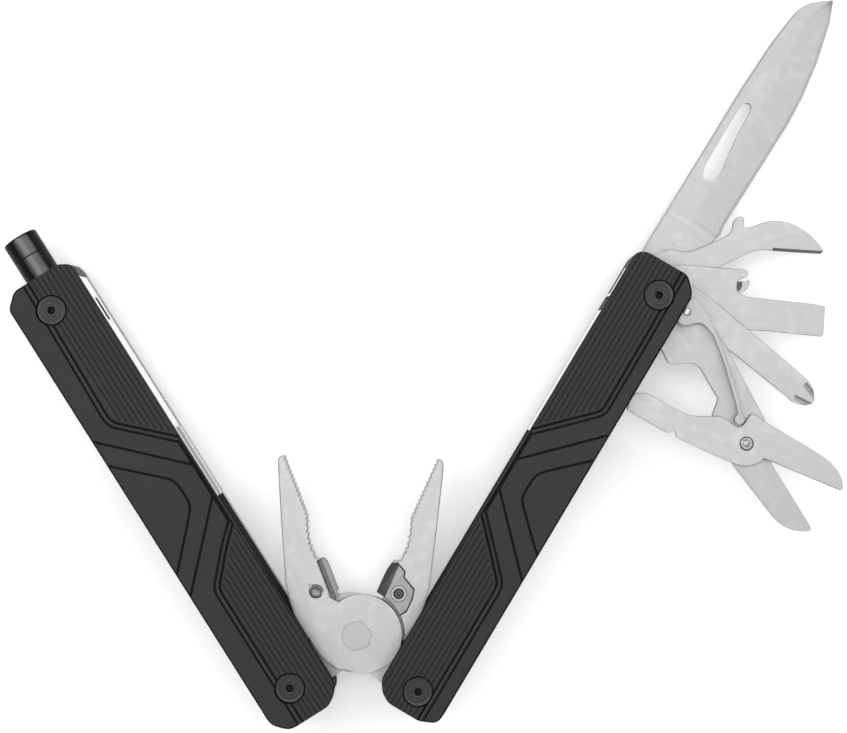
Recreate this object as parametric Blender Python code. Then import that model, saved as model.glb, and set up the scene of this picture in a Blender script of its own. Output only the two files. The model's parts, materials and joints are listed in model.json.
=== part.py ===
"""Folding multi tool: pliers between two handles, a torch in the left handle and
five fold-out tools in the right one. It lies flat, +Z up, rear faces at z = 0.

Every moving body hangs on its own empty. Those empties stand at the height of the
middle plane, so heights in a piece run from that plane: front is +Z, rear is -Z.
Along each handle +x runs from the plier end to the top end.
Lengths are in millimetres and become metres when meshes are made."""

import math

import bmesh
import bpy
from mathutils import Matrix, Vector
from mathutils.geometry import tessellate_polygon

MM = 0.001

# ---- driving dimensions ----------------------------------------------------
THICKNESS = 19.6  # over both scales
MIDDLE = THICKNESS / 2  # height of the middle plane
# Faces of a scale and a liner, from the middle plane.
SCALE_IN, SCALE_OUT = 6.4, THICKNESS / 2
LINER_IN, LINER_OUT = 5.3, 6.3
CHANNEL = 5.1  # half of the room between the liners
SCALE_CHAMFER = 0.8
LINER_INSET = 0.15  # the liner's rim lies this far inside the scale's
FIT = 0.2  # clearance around pins and screws

PLIER_PIVOT = (-13.694, -56.804)
TANG = 16.45  # plier pivot to each handle pivot
RIGHT_TANG_DEG = -39.34  # direction of each handle's pivot at rest
LEFT_TANG_DEG = 216.30
CLOSED_HALF_GAP = 8.10  # half the distance between the handle pivots, jaws closed
RIGHT_HANDLE_DEG = 59.25
LEFT_HANDLE_DEG = 122.25

PIVOT_PIN_R = 1.6
TOOL_PIVOT = (94.0, -0.9)  # in the right handle; -y is outwards
TOOL_PIN_R = 1.8
LEFT_TOP_SCREW = (90.5, 0.0)

TORCH_R = 3.7
TORCH_Y = -1.15  # the torch's axis in the left handle; -y is inwards
TORCH_TIP = 107.7
TORCH_LENGTH = 40.0
TORCH_TAIL = TORCH_TIP - TORCH_LENGTH

# The tool stack from rear to front: thickness of each layer, with a gap before each.
STACK = {
    "knife": 2.0, "hook": 1.2, "opener": 1.2, "driver": 1.2,
    "shears": 1.2, "lever": 1.2, "leaf": 0.6,
}
STACK_GAP = 0.2
LAYERS = {}
level = -CHANNEL
for layer_name, layer_thickness in STACK.items():
    level += STACK_GAP
    LAYERS[layer_name] = (level, level + layer_thickness)
    level += layer_thickness

# Direction in which each tool stands.
TOOL_DEG = {"knife": 58.5, "hook": 15.0, "opener": -6.0, "driver": -39.0, "shears": -59.0}
SHEARS_RIVET = (35.5, 0.3)  # in the scissors frame's own axes
SPRING_RIVET = (6.0, 3.6)
LEVER_DEG = -20.0

# Base colours.
STEEL = (0.62, 0.62, 0.61)
BLADE_STEEL = (0.66, 0.66, 0.65)
ALLOY = (0.55, 0.55, 0.55)
BRASS = (0.55, 0.42, 0.18)
SCALE_BLACK = (0.030, 0.030, 0.032)
SCREW_BLACK = (0.02, 0.02, 0.022)
TORCH_BLACK = (0.02, 0.02, 0.02)
BEZEL_BLACK = (0.015, 0.015, 0.015)
GLASS = (0.75, 0.78, 0.80)
LED_YELLOW = (0.80, 0.68, 0.20)
BATTERY_SILVER = (0.6, 0.6, 0.58)
CUTTER_GREY = (0.30, 0.30, 0.30)
DARK_CUTTER_GREY = (0.22, 0.22, 0.22)
CUTTER_SCREW_GREY = (0.35, 0.35, 0.34)

for old in list(bpy.data.objects):
    bpy.data.objects.remove(old, do_unlink=True)


# ---- materials -------------------------------------------------------------
def material(name, rgb, roughness, metallic):
    made = bpy.data.materials.new(name)
    made.use_nodes = True
    shader = made.node_tree.nodes["Principled BSDF"]
    shader.inputs["Base Color"].default_value = (*rgb, 1.0)
    shader.inputs["Roughness"].default_value = roughness
    shader.inputs["Metallic"].default_value = metallic
    made.diffuse_color = (*rgb, 1.0)
    return made


def metal(name, roughness=0.3, rgb=STEEL):
    return material(name, rgb, roughness=roughness, metallic=1.0)


# ---- plane geometry --------------------------------------------------------
def ccw(points):
    """The points anticlockwise. Columns after x and y travel with their point."""
    points = [tuple(point) for point in points]
    pairs = zip(points, points[1:] + points[:1])
    twice_area = sum(here[0] * after[1] - after[0] * here[1] for here, after in pairs)
    return points if twice_area > 0 else points[::-1]


def inset(points, by):
    """The anticlockwise outline moved inwards, each corner along its mitre.
    by: one distance, or a list with one for each corner."""
    steps = by if isinstance(by, list) else [by] * len(points)
    out = []
    for i, point in enumerate(points):
        here = Vector(point)
        edge_in = (here - Vector(points[i - 1])).normalized()
        edge_out = (Vector(points[(i + 1) % len(points)]) - here).normalized()
        normal = Vector((-edge_in.y, edge_in.x))
        mitre = normal + Vector((-edge_out.y, edge_out.x))
        mitre = mitre / max(0.35, mitre.dot(normal))  # the floor keeps sharp corners short
        out.append(tuple(here + mitre * steps[i]))
    return out


def circle(centre, radius, count, start=0.0):
    angles = [start + 2 * math.pi * i / count for i in range(count)]
    return [
        (centre[0] + radius * math.cos(angle), centre[1] + radius * math.sin(angle))
        for angle in angles
    ]


def arc(radius, first_deg, last_deg, count):
    """Points around the origin, both ends included."""
    step = [first_deg + (last_deg - first_deg) * i / (count - 1) for i in range(count)]
    return [
        (radius * math.cos(math.radians(deg)), radius * math.sin(math.radians(deg)))
        for deg in step
    ]


def mirror_x(points):
    return [(-x, y) for x, y in points]


def along(origin, distance, deg):
    return (
        origin[0] + distance * math.cos(math.radians(deg)),
        origin[1] + distance * math.sin(math.radians(deg)),
    )


def on_frame(origin, deg, x, y):
    """A place given in turned axes, in the axes that hold the origin."""
    cosine, sine = math.cos(math.radians(deg)), math.sin(math.radians(deg))
    return origin[0] + (x * cosine - y * sine), origin[1] + (x * sine + y * cosine)


def serrate(path, pitch, depth):
    """Teeth along a path: crests on it, valleys to its left-hand side by depth."""
    out = []
    for first, last in zip(path, path[1:]):
        first, last = Vector(first), Vector(last)
        run = last - first
        teeth = max(1, round(run.length / pitch))
        valley = Vector((-run.y, run.x)).normalized() * depth
        for k in range(teeth):
            out.append(tuple(first + run * (k / teeth)))
            out.append(tuple(first + run * ((k + 0.5) / teeth) + valley))
    out.append(tuple(path[-1]))
    return out


# ---- solids ----------------------------------------------------------------
def mesh_object(name, mesh, material=None, parent=None, smooth=True):
    bmesh.ops.recalc_face_normals(mesh, faces=mesh.faces)
    data = bpy.data.meshes.new(name)
    mesh.to_mesh(data)
    mesh.free()
    if smooth:
        data.shade_smooth()
        data.set_sharp_from_angle(angle=math.radians(32))
    made = bpy.data.objects.new(name, data)
    bpy.context.scene.collection.objects.link(made)
    if material:
        data.materials.append(material)
    made.parent = parent
    return made


def boolean(made, helper, operation, solver="EXACT"):
    """Add a live boolean; the helper is hidden and hangs on the same parent."""
    helper.hide_render = True
    helper.display_type = "WIRE"
    helper.parent = made.parent
    step = made.modifiers.new(helper.name, "BOOLEAN")
    step.operation = operation
    step.object = helper
    step.solver = solver


def ring_of(mesh, points, z):
    return [mesh.verts.new((x * MM, y * MM, z * MM)) for x, y in points]


def band(mesh, lower, upper):
    """Faces between two rings; a ring of one vertex is a point on the axis."""
    count = max(len(lower), len(upper))
    for i in range(count):
        j = (i + 1) % count
        if len(lower) == 1:
            mesh.faces.new((lower[0], upper[i], upper[j]))
        elif len(upper) == 1:
            mesh.faces.new((lower[i], lower[j], upper[0]))
        else:
            mesh.faces.new((lower[i], lower[j], upper[j], upper[i]))


def plate(name, outline, low, high, holes=(), low_in=0.0, high_in=0.0, rise=None, **kw):
    """A flat piece. holes: (x, y, r) right through, (x, y, r above, r below, height of
    the step), or an outline. low_in and high_in draw the bottom and top outline in, over
    the height rise, or over the same distance as they are drawn in."""
    outline = ccw(outline)
    mesh = bmesh.new()
    rims = [(inset(outline, low_in) if low_in else outline, low)]
    if low_in:
        rims.append((outline, low + (rise or low_in)))
    if high_in:
        rims.append((outline, high - (rise or high_in)))
    rims.append((inset(outline, high_in) if high_in else outline, high))
    rings = [ring_of(mesh, points, z) for points, z in rims]
    for lower, upper in zip(rings, rings[1:]):
        band(mesh, lower, upper)

    tops, bottoms = [(rims[-1][0], rings[-1])], [(rims[0][0], rings[0])]
    for hole in holes:
        stepped = False
        if isinstance(hole[0], tuple):
            above = below = hole
        else:
            x, y, radius = hole[:3]
            stepped = len(hole) == 5
            count = 20 if radius > 1.0 else 14
            above = circle((x, y), radius, count)
            below = circle((x, y), hole[3] if stepped else radius, count)
        upper, lower = ring_of(mesh, above, high), ring_of(mesh, below, low)
        if stepped:
            wide, narrow = ring_of(mesh, above, hole[4]), ring_of(mesh, below, hole[4])
            band(mesh, upper, wide)
            band(mesh, wide, narrow)
            band(mesh, narrow, lower)
        else:
            band(mesh, upper, lower)
        tops.append((above, upper))
        bottoms.append((below, lower))

    for caps in (tops, bottoms):
        verts = [vert for _, ring in caps for vert in ring]
        loops = [[Vector((x, y, 0.0)) for x, y in points] for points, _ in caps]
        for triangle in tessellate_polygon(loops):
            mesh.faces.new([verts[i] for i in triangle])
    return mesh_object(name, mesh, **kw)


def turned(name, profile, count=18, along_x=False, centre=(0.0, 0.0), **kw):
    """A turned piece from a closed profile of (radius, height) points.
    along_x lays its axis along x, so that heights become x."""
    mesh = bmesh.new()
    rings = [
        ring_of(mesh, circle((0, 0), radius, count) if radius else [(0, 0)], height)
        for radius, height in profile
    ]
    pairs = list(zip(rings, rings[1:] + rings[:1]))
    if len(rings[0]) == 1 and len(rings[-1]) == 1:
        pairs = pairs[:-1]  # both ends lie on the axis and need no band
    for lower, upper in pairs:
        band(mesh, lower, upper)
    if along_x:
        lay_down = Matrix.Rotation(math.pi / 2, 4, "Y")
        bmesh.ops.transform(mesh, matrix=lay_down, verts=mesh.verts)
    bmesh.ops.translate(mesh, vec=Vector((*centre, 0.0)) * MM, verts=mesh.verts)
    return mesh_object(name, mesh, **kw)


def flip_z(made):
    """Move a front piece to the rear side by mirroring it."""
    made.data.transform(Matrix.Scale(-1, 4, (0, 0, 1)))
    made.data.flip_normals()


# ---- frames, one per moving body -------------------------------------------
def frame(name, place, deg, parent=None):
    made = bpy.data.objects.new(name, None)
    bpy.context.scene.collection.objects.link(made)
    made.empty_display_size = 0.01
    made.location = (place[0] * MM, place[1] * MM, MIDDLE * MM)
    made.rotation_euler = (0, 0, math.radians(deg))
    if parent:
        # Keep this frame where it is in the world while it hangs on its parent.
        chain, up = Matrix.Identity(4), parent
        while up:
            here = Matrix.Translation(up.location) @ up.rotation_euler.to_matrix().to_4x4()
            chain = up.matrix_parent_inverse @ here @ chain
            up = up.parent
        made.parent = parent
        made.matrix_parent_inverse = chain.inverted()
    return made


RIGHT_PIVOT = along(PLIER_PIVOT, TANG, RIGHT_TANG_DEG)
LEFT_PIVOT = along(PLIER_PIVOT, TANG, LEFT_TANG_DEG)
CLOSED_HALF_DEG = math.degrees(math.asin(CLOSED_HALF_GAP / TANG))
LEFT_JAW_DEG = RIGHT_TANG_DEG - (-90 + CLOSED_HALF_DEG)  # from closed to rest
RIGHT_JAW_DEG = LEFT_TANG_DEG - (270 - CLOSED_HALF_DEG)
TORCH_AXIS = on_frame(LEFT_PIVOT, LEFT_HANDLE_DEG, 0.0, TORCH_Y)
TOOL_AXIS = on_frame(RIGHT_PIVOT, RIGHT_HANDLE_DEG, *TOOL_PIVOT)
LEVER_AXIS = on_frame(TOOL_AXIS, TOOL_DEG["shears"], *SHEARS_RIVET)

right_handle = frame("right_handle_frame", RIGHT_PIVOT, RIGHT_HANDLE_DEG)
left_jaw = frame("left_jaw_frame", PLIER_PIVOT, LEFT_JAW_DEG, right_handle)
right_jaw = frame("right_jaw_frame", PLIER_PIVOT, RIGHT_JAW_DEG, left_jaw)
left_handle = frame("left_handle_frame", LEFT_PIVOT, LEFT_HANDLE_DEG, right_jaw)
torch_frame = frame("torch_frame", TORCH_AXIS, LEFT_HANDLE_DEG, left_handle)
tool_frames = {
    body: frame(f"{body}_frame", TOOL_AXIS, deg, right_handle)
    for body, deg in TOOL_DEG.items()
}
lever_frame = frame("lever_frame", LEVER_AXIS, LEVER_DEG, tool_frames["shears"])

# ---- handles ---------------------------------------------------------------
# Outlines of the scales: (x, y) from each handle's pivot.
LEFT_OUTLINE = [
    (95.1, 7.3), (97.4, 4.9), (97.8, 4.0), (97.8, -6.0), (96.6, -8.0), (95.6, -8.2),
    (-3.9, -8.2), (-6.0, -6.8), (-7.3, -4.6), (-7.3, 3.3), (-7.0, 4.7), (-5.5, 6.2),
    (-4.5, 7.0), (-3.3, 7.3),
]
RIGHT_OUTLINE = [
    (98.1, -6.3), (96.8, -6.9), (-1.7, -6.9), (-3.0, -6.7), (-3.8, -6.1), (-4.8, -3.9),
    (-5.1, -3.0), (-5.1, 4.0), (-3.9, 6.1), (-1.8, 7.5), (98.2, 7.5), (99.7, 7.0),
    (100.4, 5.5), (100.5, -3.6), (99.9, -4.5),
]
HEAD_R, HEAD_LOW, HEAD_HIGH = 2.95, 8.5, 9.45
SHANK_R = 1.2
SHANK_FIT = 0.25  # clearance around a shank in the scale
SOCKET_R, SOCKET_DEPTH = 0.75, 0.7
OVER_PIN = LINER_OUT + 0.35  # a screw over a pin ends here, clear of it
IN_LINER = LINER_IN + 0.1  # a screw with no pin ends here

# Screws: name, place, radius of what passes through the liner, height of the shank's end.
RIGHT_SCREWS = [
    ("pivot", (0.0, 0.0), PIVOT_PIN_R, OVER_PIN),
    ("top", TOOL_PIVOT, TOOL_PIN_R, OVER_PIN),
]
LEFT_SCREWS = [
    ("pivot", (0.0, 0.0), PIVOT_PIN_R, OVER_PIN),
    ("top", LEFT_TOP_SCREW, SHANK_R, IN_LINER),
]
LIP_OUTLINE = [(40.8, -8.05), (57.3, -8.05), (57.3, -7.15), (40.8, -7.15)]
LIP_LOW, LIP_HIGH = 3.0, LINER_IN + 0.3


def screw(name, place, shank_end, **kw):
    profile = [
        (0, HEAD_HIGH - SOCKET_DEPTH), (SOCKET_R, HEAD_HIGH - SOCKET_DEPTH),
        (SOCKET_R, HEAD_HIGH), (HEAD_R - 0.15, HEAD_HIGH), (HEAD_R, HEAD_HIGH - 0.2),
        (HEAD_R, HEAD_LOW), (SHANK_R, HEAD_LOW), (SHANK_R, shank_end), (0, shank_end),
    ]
    return turned(name, profile, centre=place, **kw)


def handle(side, outline, screws, parent):
    """Two scales, two liners and the screws of one handle. Returns the liners by face."""
    black = material(f"{side}_scale_black", SCALE_BLACK, roughness=0.5, metallic=0.0)
    steel = metal(f"{side}_liner_steel")
    screw_black = material(f"{side}_screw_black", SCREW_BLACK, roughness=0.3, metallic=0.8)
    recesses = [
        (*place, HEAD_R + FIT, SHANK_R + SHANK_FIT, HEAD_LOW - FIT)
        for _, place, _, _ in screws
    ]
    liner_holes = [(*place, radius + FIT) for _, place, radius, _ in screws]
    liners = {}
    for face in ("front", "rear"):
        scale = plate(
            f"{side}_scale_{face}", outline, SCALE_IN, SCALE_OUT,
            holes=recesses, high_in=SCALE_CHAMFER, material=black, parent=parent,
        )
        liners[face] = plate(
            f"{side}_liner_{face}", inset(ccw(outline), LINER_INSET), LINER_IN, LINER_OUT,
            holes=liner_holes, material=steel, parent=parent,
        )
        heads = [
            screw(
                f"{side}_{label}_screw_{face}", place, shank_end,
                material=screw_black, parent=parent,
            )
            for label, place, _, shank_end in screws
        ]
        if face == "rear":
            for piece in (scale, liners[face], *heads):
                flip_z(piece)
    return liners


def add_lips(liners):
    """A lip along the inner edge of each left liner, clear of the stowed jaw."""
    for face, span in (("front", (LIP_LOW, LIP_HIGH)), ("rear", (-LIP_HIGH, -LIP_LOW))):
        lip = plate(f"lip_{face}_cut", LIP_OUTLINE, *span, smooth=False)
        boolean(liners[face], lip, "UNION")


def pin(name, place, radius, parent):
    """A pin from one liner's outer face to the other's, both rims chamfered."""
    end, edge = LINER_OUT, 0.2
    turned(
        name,
        [
            (0, end), (radius - edge, end), (radius, end - edge),
            (radius, edge - end), (radius - edge, -end), (0, -end),
        ],
        centre=place, material=metal(f"{name}_steel", roughness=0.35), parent=parent,
    )


def tool_pivot_spacer():
    """A ring that fills the stack in front of the scissors frame."""
    low, outer, inner = LAYERS["lever"][0], 4.0, TOOL_PIN_R + FIT
    turned(
        "tool_pivot_spacer",
        [(outer, low), (outer, CHANNEL), (inner, CHANNEL), (inner, low)],
        centre=TOOL_PIVOT,
        material=metal("spacer_brass", roughness=0.35, rgb=BRASS),
        parent=right_handle,
    )


def back_spring():
    """A bar along the inner edge of the right handle."""
    plate(
        "back_spring",
        [(57.0, 7.3), (58.0, 5.2), (90.0, 5.2), (90.0, 7.3)],
        -CHANNEL,
        2.8,
        material=metal("spring_steel", roughness=0.28),
        parent=right_handle,
    )


handle("right", RIGHT_OUTLINE, RIGHT_SCREWS, right_handle)
add_lips(handle("left", LEFT_OUTLINE, LEFT_SCREWS, left_handle))
pin("right_pivot_pin", (0, 0), PIVOT_PIN_R, right_handle)
pin("left_pivot_pin", (0, 0), PIVOT_PIN_R, left_handle)
pin("tool_pivot_pin", TOOL_PIVOT, TOOL_PIN_R, right_handle)
tool_pivot_spacer()
back_spring()

# ---- torch and its housing ---------------------------------------------------
HOUSING_START = 57.6
HOUSING_OUTLINE = [
    (HOUSING_START, -7.95), (HOUSING_START, 7.0), (94.9, 7.0), (97.1, 4.8),
    (97.5, 3.9), (97.5, -5.8), (96.4, -7.75), (95.4, -7.95),
]
BORE_R = TORCH_R + 0.3
BORE_START, BORE_END = HOUSING_START + 1.3, 99.0

# Profiles of the torch's parts: (radius, x).
BARREL = [
    (TORCH_R, TORCH_TAIL + 2.6), (TORCH_R, TORCH_TIP - 4.7),
    (3.1, TORCH_TIP - 4.7), (3.1, TORCH_TAIL + 2.6),
]
BEZEL = [
    (TORCH_R - 0.1, TORCH_TIP - 4.5), (TORCH_R + 0.05, TORCH_TIP - 4.3),
    (TORCH_R + 0.05, TORCH_TIP - 0.4), (TORCH_R - 0.3, TORCH_TIP), (3.0, TORCH_TIP),
    (3.0, TORCH_TIP - 3.5), (0.9, TORCH_TIP - 3.5), (0.9, TORCH_TIP - 4.5),
]
LENS = [(0, TORCH_TIP - 1.3), (2.8, TORCH_TIP - 1.3), (2.8, TORCH_TIP - 0.7), (0, TORCH_TIP - 0.5)]
LED = [
    (0, TORCH_TIP - 3.3), (2.6, TORCH_TIP - 3.3), (2.6, TORCH_TIP - 2.8),
    (1.2, TORCH_TIP - 2.8), (0.9, TORCH_TIP - 2.1), (0, TORCH_TIP - 1.8),
]
BATTERY = [
    (0, TORCH_TAIL + 4.6), (2.85, TORCH_TAIL + 4.6), (2.85, TORCH_TIP - 6.2),
    (1.0, TORCH_TIP - 6.2), (1.0, TORCH_TIP - 5.3), (0, TORCH_TIP - 5.3),
]
TAILCAP = [
    (0, TORCH_TAIL), (2.0, TORCH_TAIL), (2.3, TORCH_TAIL + 0.5),
    (TORCH_R - 0.3, TORCH_TAIL + 0.5), (TORCH_R, TORCH_TAIL + 0.8),
    (TORCH_R, TORCH_TAIL + 2.4), (2.9, TORCH_TAIL + 2.4), (2.9, TORCH_TAIL + 4.2),
    (0, TORCH_TAIL + 4.2),
]


def torch_housing():
    """The left handle's core, with a bore for the torch that is open at the top end."""
    housing = plate(
        "torch_housing", HOUSING_OUTLINE, -CHANNEL, CHANNEL,
        material=metal("housing_alloy", roughness=0.35, rgb=ALLOY), parent=left_handle,
    )
    bore = turned(
        "torch_bore_cut",
        [(0, BORE_START), (BORE_R, BORE_START), (BORE_R, BORE_END), (0, BORE_END)],
        count=32, along_x=True, centre=(0, TORCH_Y),
    )
    boolean(housing, bore, "DIFFERENCE")


def torch_part(name, profile, look, rgb, roughness, metallic):
    turned(
        f"torch_{name}", profile, along_x=True,
        material=material(look, rgb, roughness, metallic), parent=torch_frame,
    )


torch_housing()
torch_part("barrel", BARREL, "torch_black", TORCH_BLACK, roughness=0.35, metallic=0.6)
torch_part("bezel", BEZEL, "bezel_black", BEZEL_BLACK, roughness=0.3, metallic=0.7)
torch_part("lens", LENS, "lens_glass", GLASS, roughness=0.08, metallic=0.0)
torch_part("led", LED, "led_yellow", LED_YELLOW, roughness=0.3, metallic=0.0)
torch_part("battery", BATTERY, "battery_silver", BATTERY_SILVER, roughness=0.3, metallic=1.0)
torch_part("tailcap", TAILCAP, "tailcap_black", TORCH_BLACK, roughness=0.5, metallic=0.3)

# ---- pliers, drawn closed with the centre line on x = 0 ----------------------
JAW_LONG, JAW_SHORT = 2.6, 2.4  # a jaw's depth on its disc's side and on the other
SPLIT = 0.15  # from the middle plane to each disc
JAW_CLEAR_R = 9.8  # full thickness starts outside this radius
DISC_R = 8.2
DISC_CENTRE = (-1.23, -0.15)  # of the right jaw; the left one's is mirrored
EYE_R, EYE_HALF = 4.6, 5.0
TANG_ROOT_HALF, TANG_EYE_HALF = 4.4, 4.2  # half widths of the tang at its ends
RIVET_R = 2.0
PIN_AT = (4.4, 11.55)  # cutter screw of the right jaw; the left one's pin is mirrored
CUTTER_SCREW_BORE, CUTTER_PIN_BORE = 1.1, 1.45
LEFT_NOTCH, RIGHT_NOTCH = 1.9, 0.6  # from the centre line to each jaw below its teeth

# Right jaw, (x, y) from the pivot: outer edge up to the tip, then teeth back down.
OUTER_JAW = [
    (9.35, 2.95), (10.3, 8.5), (10.2, 11.9), (9.76, 15.2), (5.88, 27.8), (3.0, 36.8),
    (2.0, 39.6), (1.5, 40.1), (0.6, 40.2),
]
TIP_TEETH = serrate([(0.2, 39.6), (0.2, 26.6)], pitch=1.0, depth=0.35)
PIPE_TEETH = serrate(
    [(0.2, 26.6), (1.1, 24.2), (1.75, 21.6), (1.85, 19.2), (1.5, 17.4)], pitch=1.25, depth=0.4
)
CLEAR_ARC = arc(JAW_CLEAR_R, 78.0, 20.0, 12)
NECK = [
    (9.7, 12.3), (9.95, 8.5), (9.1, 2.6), (8.2, -1.2), (6.0, -4.8), (3.0, -6.5),
    (-2.0, -4.0), (-2.0, 4.0), (2.3, 9.5), (2.35, 12.0), (6.0, 14.0),
]
RIGHT_INSERT = arc(JAW_CLEAR_R + 0.05, 89.0, 50.0, 8) + [
    (7.3, 8.8), (7.4, 11.6), (6.9, 13.6), (4.0, 15.0), (3.67, 16.2), (1.7, 17.1),
    (0.6, 16.6), (0.17, 14.8),
]
LEFT_INSERT = mirror_x(
    [(0.17, 9.95), (0.17, 16.2), (0.7, 17.2), (1.7, 17.2), (1.7, 9.85), (0.9, 9.9)]
)
# Turned parts: (radius, height).
CUTTER_SCREW = [
    (0, 2.85), (0.7, 2.85), (0.7, 3.35), (1.5, 3.35), (1.65, 3.2), (1.65, 2.8),
    (0.9, 2.8), (0.9, -2.5), (0, -2.5),
]
CUTTER_PIN = [(0, 2.7), (1.2, 2.7), (1.3, 2.6), (1.3, -2.4), (1.2, -2.5), (0, -2.5)]
PLIER_RIVET = [
    (0, 2.9), (RIVET_R, 2.9), (RIVET_R, -2.7), (3.2, -2.7), (3.3, -2.8), (3.3, -3.2),
    (3.1, -3.3), (0, -3.3),
]


def tang_outline(eye):
    """The bar from the plier pivot to the eye."""
    run = Vector(eye).normalized()
    side = Vector((-run.y, run.x))
    root, end = side * TANG_ROOT_HALF, side * TANG_EYE_HALF
    return [tuple(point) for point in (root, Vector(eye) + end, Vector(eye) - end, -root)]


def plier_lever(name, notch, sign, pin_bore, parent):
    """One lever of the pliers. sign +1: this jaw lies at +x and its disc is the rear one."""

    def place(points):
        return points if sign > 0 else mirror_x(points)

    def span(low, high):
        """Heights given for the right jaw; the left one's are turned over."""
        return (low, high) if sign > 0 else (-high, -low)

    outline = OUTER_JAW + TIP_TEETH[:-1] + PIPE_TEETH
    outline += [(notch, 17.1), (notch, math.sqrt(JAW_CLEAR_R**2 - notch**2) + 0.02)]
    outline += [point for point in CLEAR_ARC if point[0] > notch + 0.3]
    jaw = plate(
        name, place(outline), *span(-JAW_LONG, JAW_SHORT), high_in=0.25, low_in=0.25,
        material=metal(f"{name}_steel", roughness=0.32), parent=parent,
    )
    eye = along((0, 0), TANG, -90 - sign * CLOSED_HALF_DEG)
    disc = circle(place([DISC_CENTRE])[0], DISC_R, 44)
    # The neck is shifted by a hair, so that no two faces of the union coincide.
    added = [
        ("neck", place(NECK), span(-JAW_LONG - 0.02, -SPLIT - 0.02)),
        ("disc", disc, span(-JAW_LONG, -SPLIT)),
        ("tang", tang_outline(eye), span(-JAW_LONG + 0.4, -SPLIT - 0.04)),
        ("eye", circle(eye, EYE_R, 24), (-EYE_HALF, EYE_HALF)),
    ]
    for part, points, heights in added:
        boolean(jaw, plate(f"{name}_{part}_cut", points, *heights), "UNION", "MANIFOLD")
    bores = [
        circle((0, 0), RIVET_R + FIT, 20),
        circle(eye, PIVOT_PIN_R + FIT, 20),
        circle(place([PIN_AT])[0], pin_bore, 16),
    ]
    for i, points in enumerate(bores):
        boolean(jaw, plate(f"{name}_bore{i}_cut", points, -6, 6), "DIFFERENCE", "MANIFOLD")
    return jaw


def right_cutter(jaw):
    """The insert in its pocket at the front of the right jaw, and its screw."""
    pocket = plate("insert_pocket_cut", inset(ccw(RIGHT_INSERT), -0.15), -SPLIT, 6.0)
    boolean(jaw, pocket, "DIFFERENCE", "MANIFOLD")
    plate(
        "cutter_insert_right", RIGHT_INSERT, 0.05, JAW_LONG + 0.1,
        holes=[(*PIN_AT, CUTTER_SCREW_BORE)], high_in=0.25,
        material=metal("cutter_right_steel", roughness=0.4, rgb=CUTTER_GREY),
        parent=right_jaw,
    )
    turned(
        "cutter_screw_right", CUTTER_SCREW, count=16, centre=PIN_AT,
        material=metal("cutter_screw_steel", rgb=CUTTER_SCREW_GREY), parent=right_jaw,
    )


def left_cutter():
    plate(
        "cutter_insert_left", LEFT_INSERT, -2.2, 2.4, high_in=0.2, low_in=0.2,
        material=metal("cutter_left_steel", roughness=0.4, rgb=DARK_CUTTER_GREY),
        parent=left_jaw,
    )
    turned(
        "cutter_pin_left", CUTTER_PIN, count=16, centre=mirror_x([PIN_AT])[0],
        material=metal("cutter_pin_steel", roughness=0.35, rgb=CUTTER_GREY),
        parent=left_jaw,
    )


def plier_rivet():
    """The pliers' pivot: round head at the rear, hexagon at the front."""
    rivet = turned(
        "plier_rivet", PLIER_RIVET,
        material=metal("plier_rivet_steel", roughness=0.25), parent=left_jaw,
    )
    hexagon = circle((0, 0), 3.3, 6, start=math.radians(8))
    boolean(rivet, plate("rivet_hex_cut", hexagon, 2.7, 3.2), "UNION")


plier_lever("plier_jaw_left", LEFT_NOTCH, -1, CUTTER_PIN_BORE, left_jaw)
right_cutter(plier_lever("plier_jaw_right", RIGHT_NOTCH, 1, CUTTER_SCREW_BORE, right_jaw))
left_cutter()
plier_rivet()

# ---- fold-out tools, each drawn with its pivot at the origin and its run along +x ----
TANG_BACK = arc(5.0, 252.0, 132.0, 9)  # the round end that all tools share
RIM = 0.12  # how far a plain rim is drawn in on the knife and the scissors

# Rest of the blade's outline: (x, y, how far the grind draws the rim in).
BLADE = [
    (0.5, 5.3, RIM), (7.9, 6.9, RIM), (47.4, 6.9, RIM), (65.8, 5.7, RIM), (67.1, 5.4, RIM),
    (68.6, 4.7, RIM), (71.9, 1.1, 0.5), (72.4, 0.1, 0.9), (67.9, -1.7, 3.0),
    (59.4, -3.8, 4.6), (51.9, -4.9, 5.4), (45.6, -5.3, 5.8), (31.8, -5.1, 5.7),
    (20.8, -4.9, 5.6), (18.2, -5.3, RIM), (16.4, -4.7, RIM), (8.0, -4.6, RIM),
    (2.0, -4.75, RIM),
]
BLADE_FLAT = 0.08  # half of the rim's height left between the two grinds
# All outlines below are (x, y).
BLADE_SLOT = [
    (44.3, 4.3), (44.7, 3.4), (43.9, 2.8), (37.8, 2.6), (29.0, 1.5), (27.7, 1.9), (26.7, 3.4),
    (27.4, 4.2), (29.1, 4.8), (40.3, 4.9), (43.5, 4.8),
]
HOOK = [
    (-0.8, 6.4), (1.8, 8.3), (3.5, 8.6), (6.3, 8.8), (9.1, 7.0), (14.9, 7.7), (18.5, 8.4),
    (19.2, 8.9), (20.4, 11.0), (21.2, 11.4), (22.1, 11.4), (22.5, 10.8), (21.9, 9.5),
    (22.1, 8.9), (22.9, 8.7), (26.4, 9.0), (30.2, 8.0), (32.1, 6.9), (35.1, 3.7), (36.5, 0.4),
    (36.2, -0.4), (27.9, 2.5), (23.7, 3.9), (20.6, 3.6), (16.1, 2.7), (13.0, 2.0), (9.0, 0.8),
    (5.0, -2.5), (2.3, -4.5),
]
OPENER = [
    (-0.5, 5.8), (4.7, 7.3), (13.8, 7.4), (17.8, 7.6), (18.8, 7.2), (18.9, 6.1), (18.1, 5.4),
    (17.4, 5.4), (16.8, 4.5), (17.2, 2.7), (18.2, 2.3), (19.2, 1.9), (33.7, 1.9), (35.5, 1.6),
    (35.7, -4.2), (35.3, -4.6), (24.0, -4.6), (20.5, -4.8), (12.0, -4.8), (2.0, -4.7),
]
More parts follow.
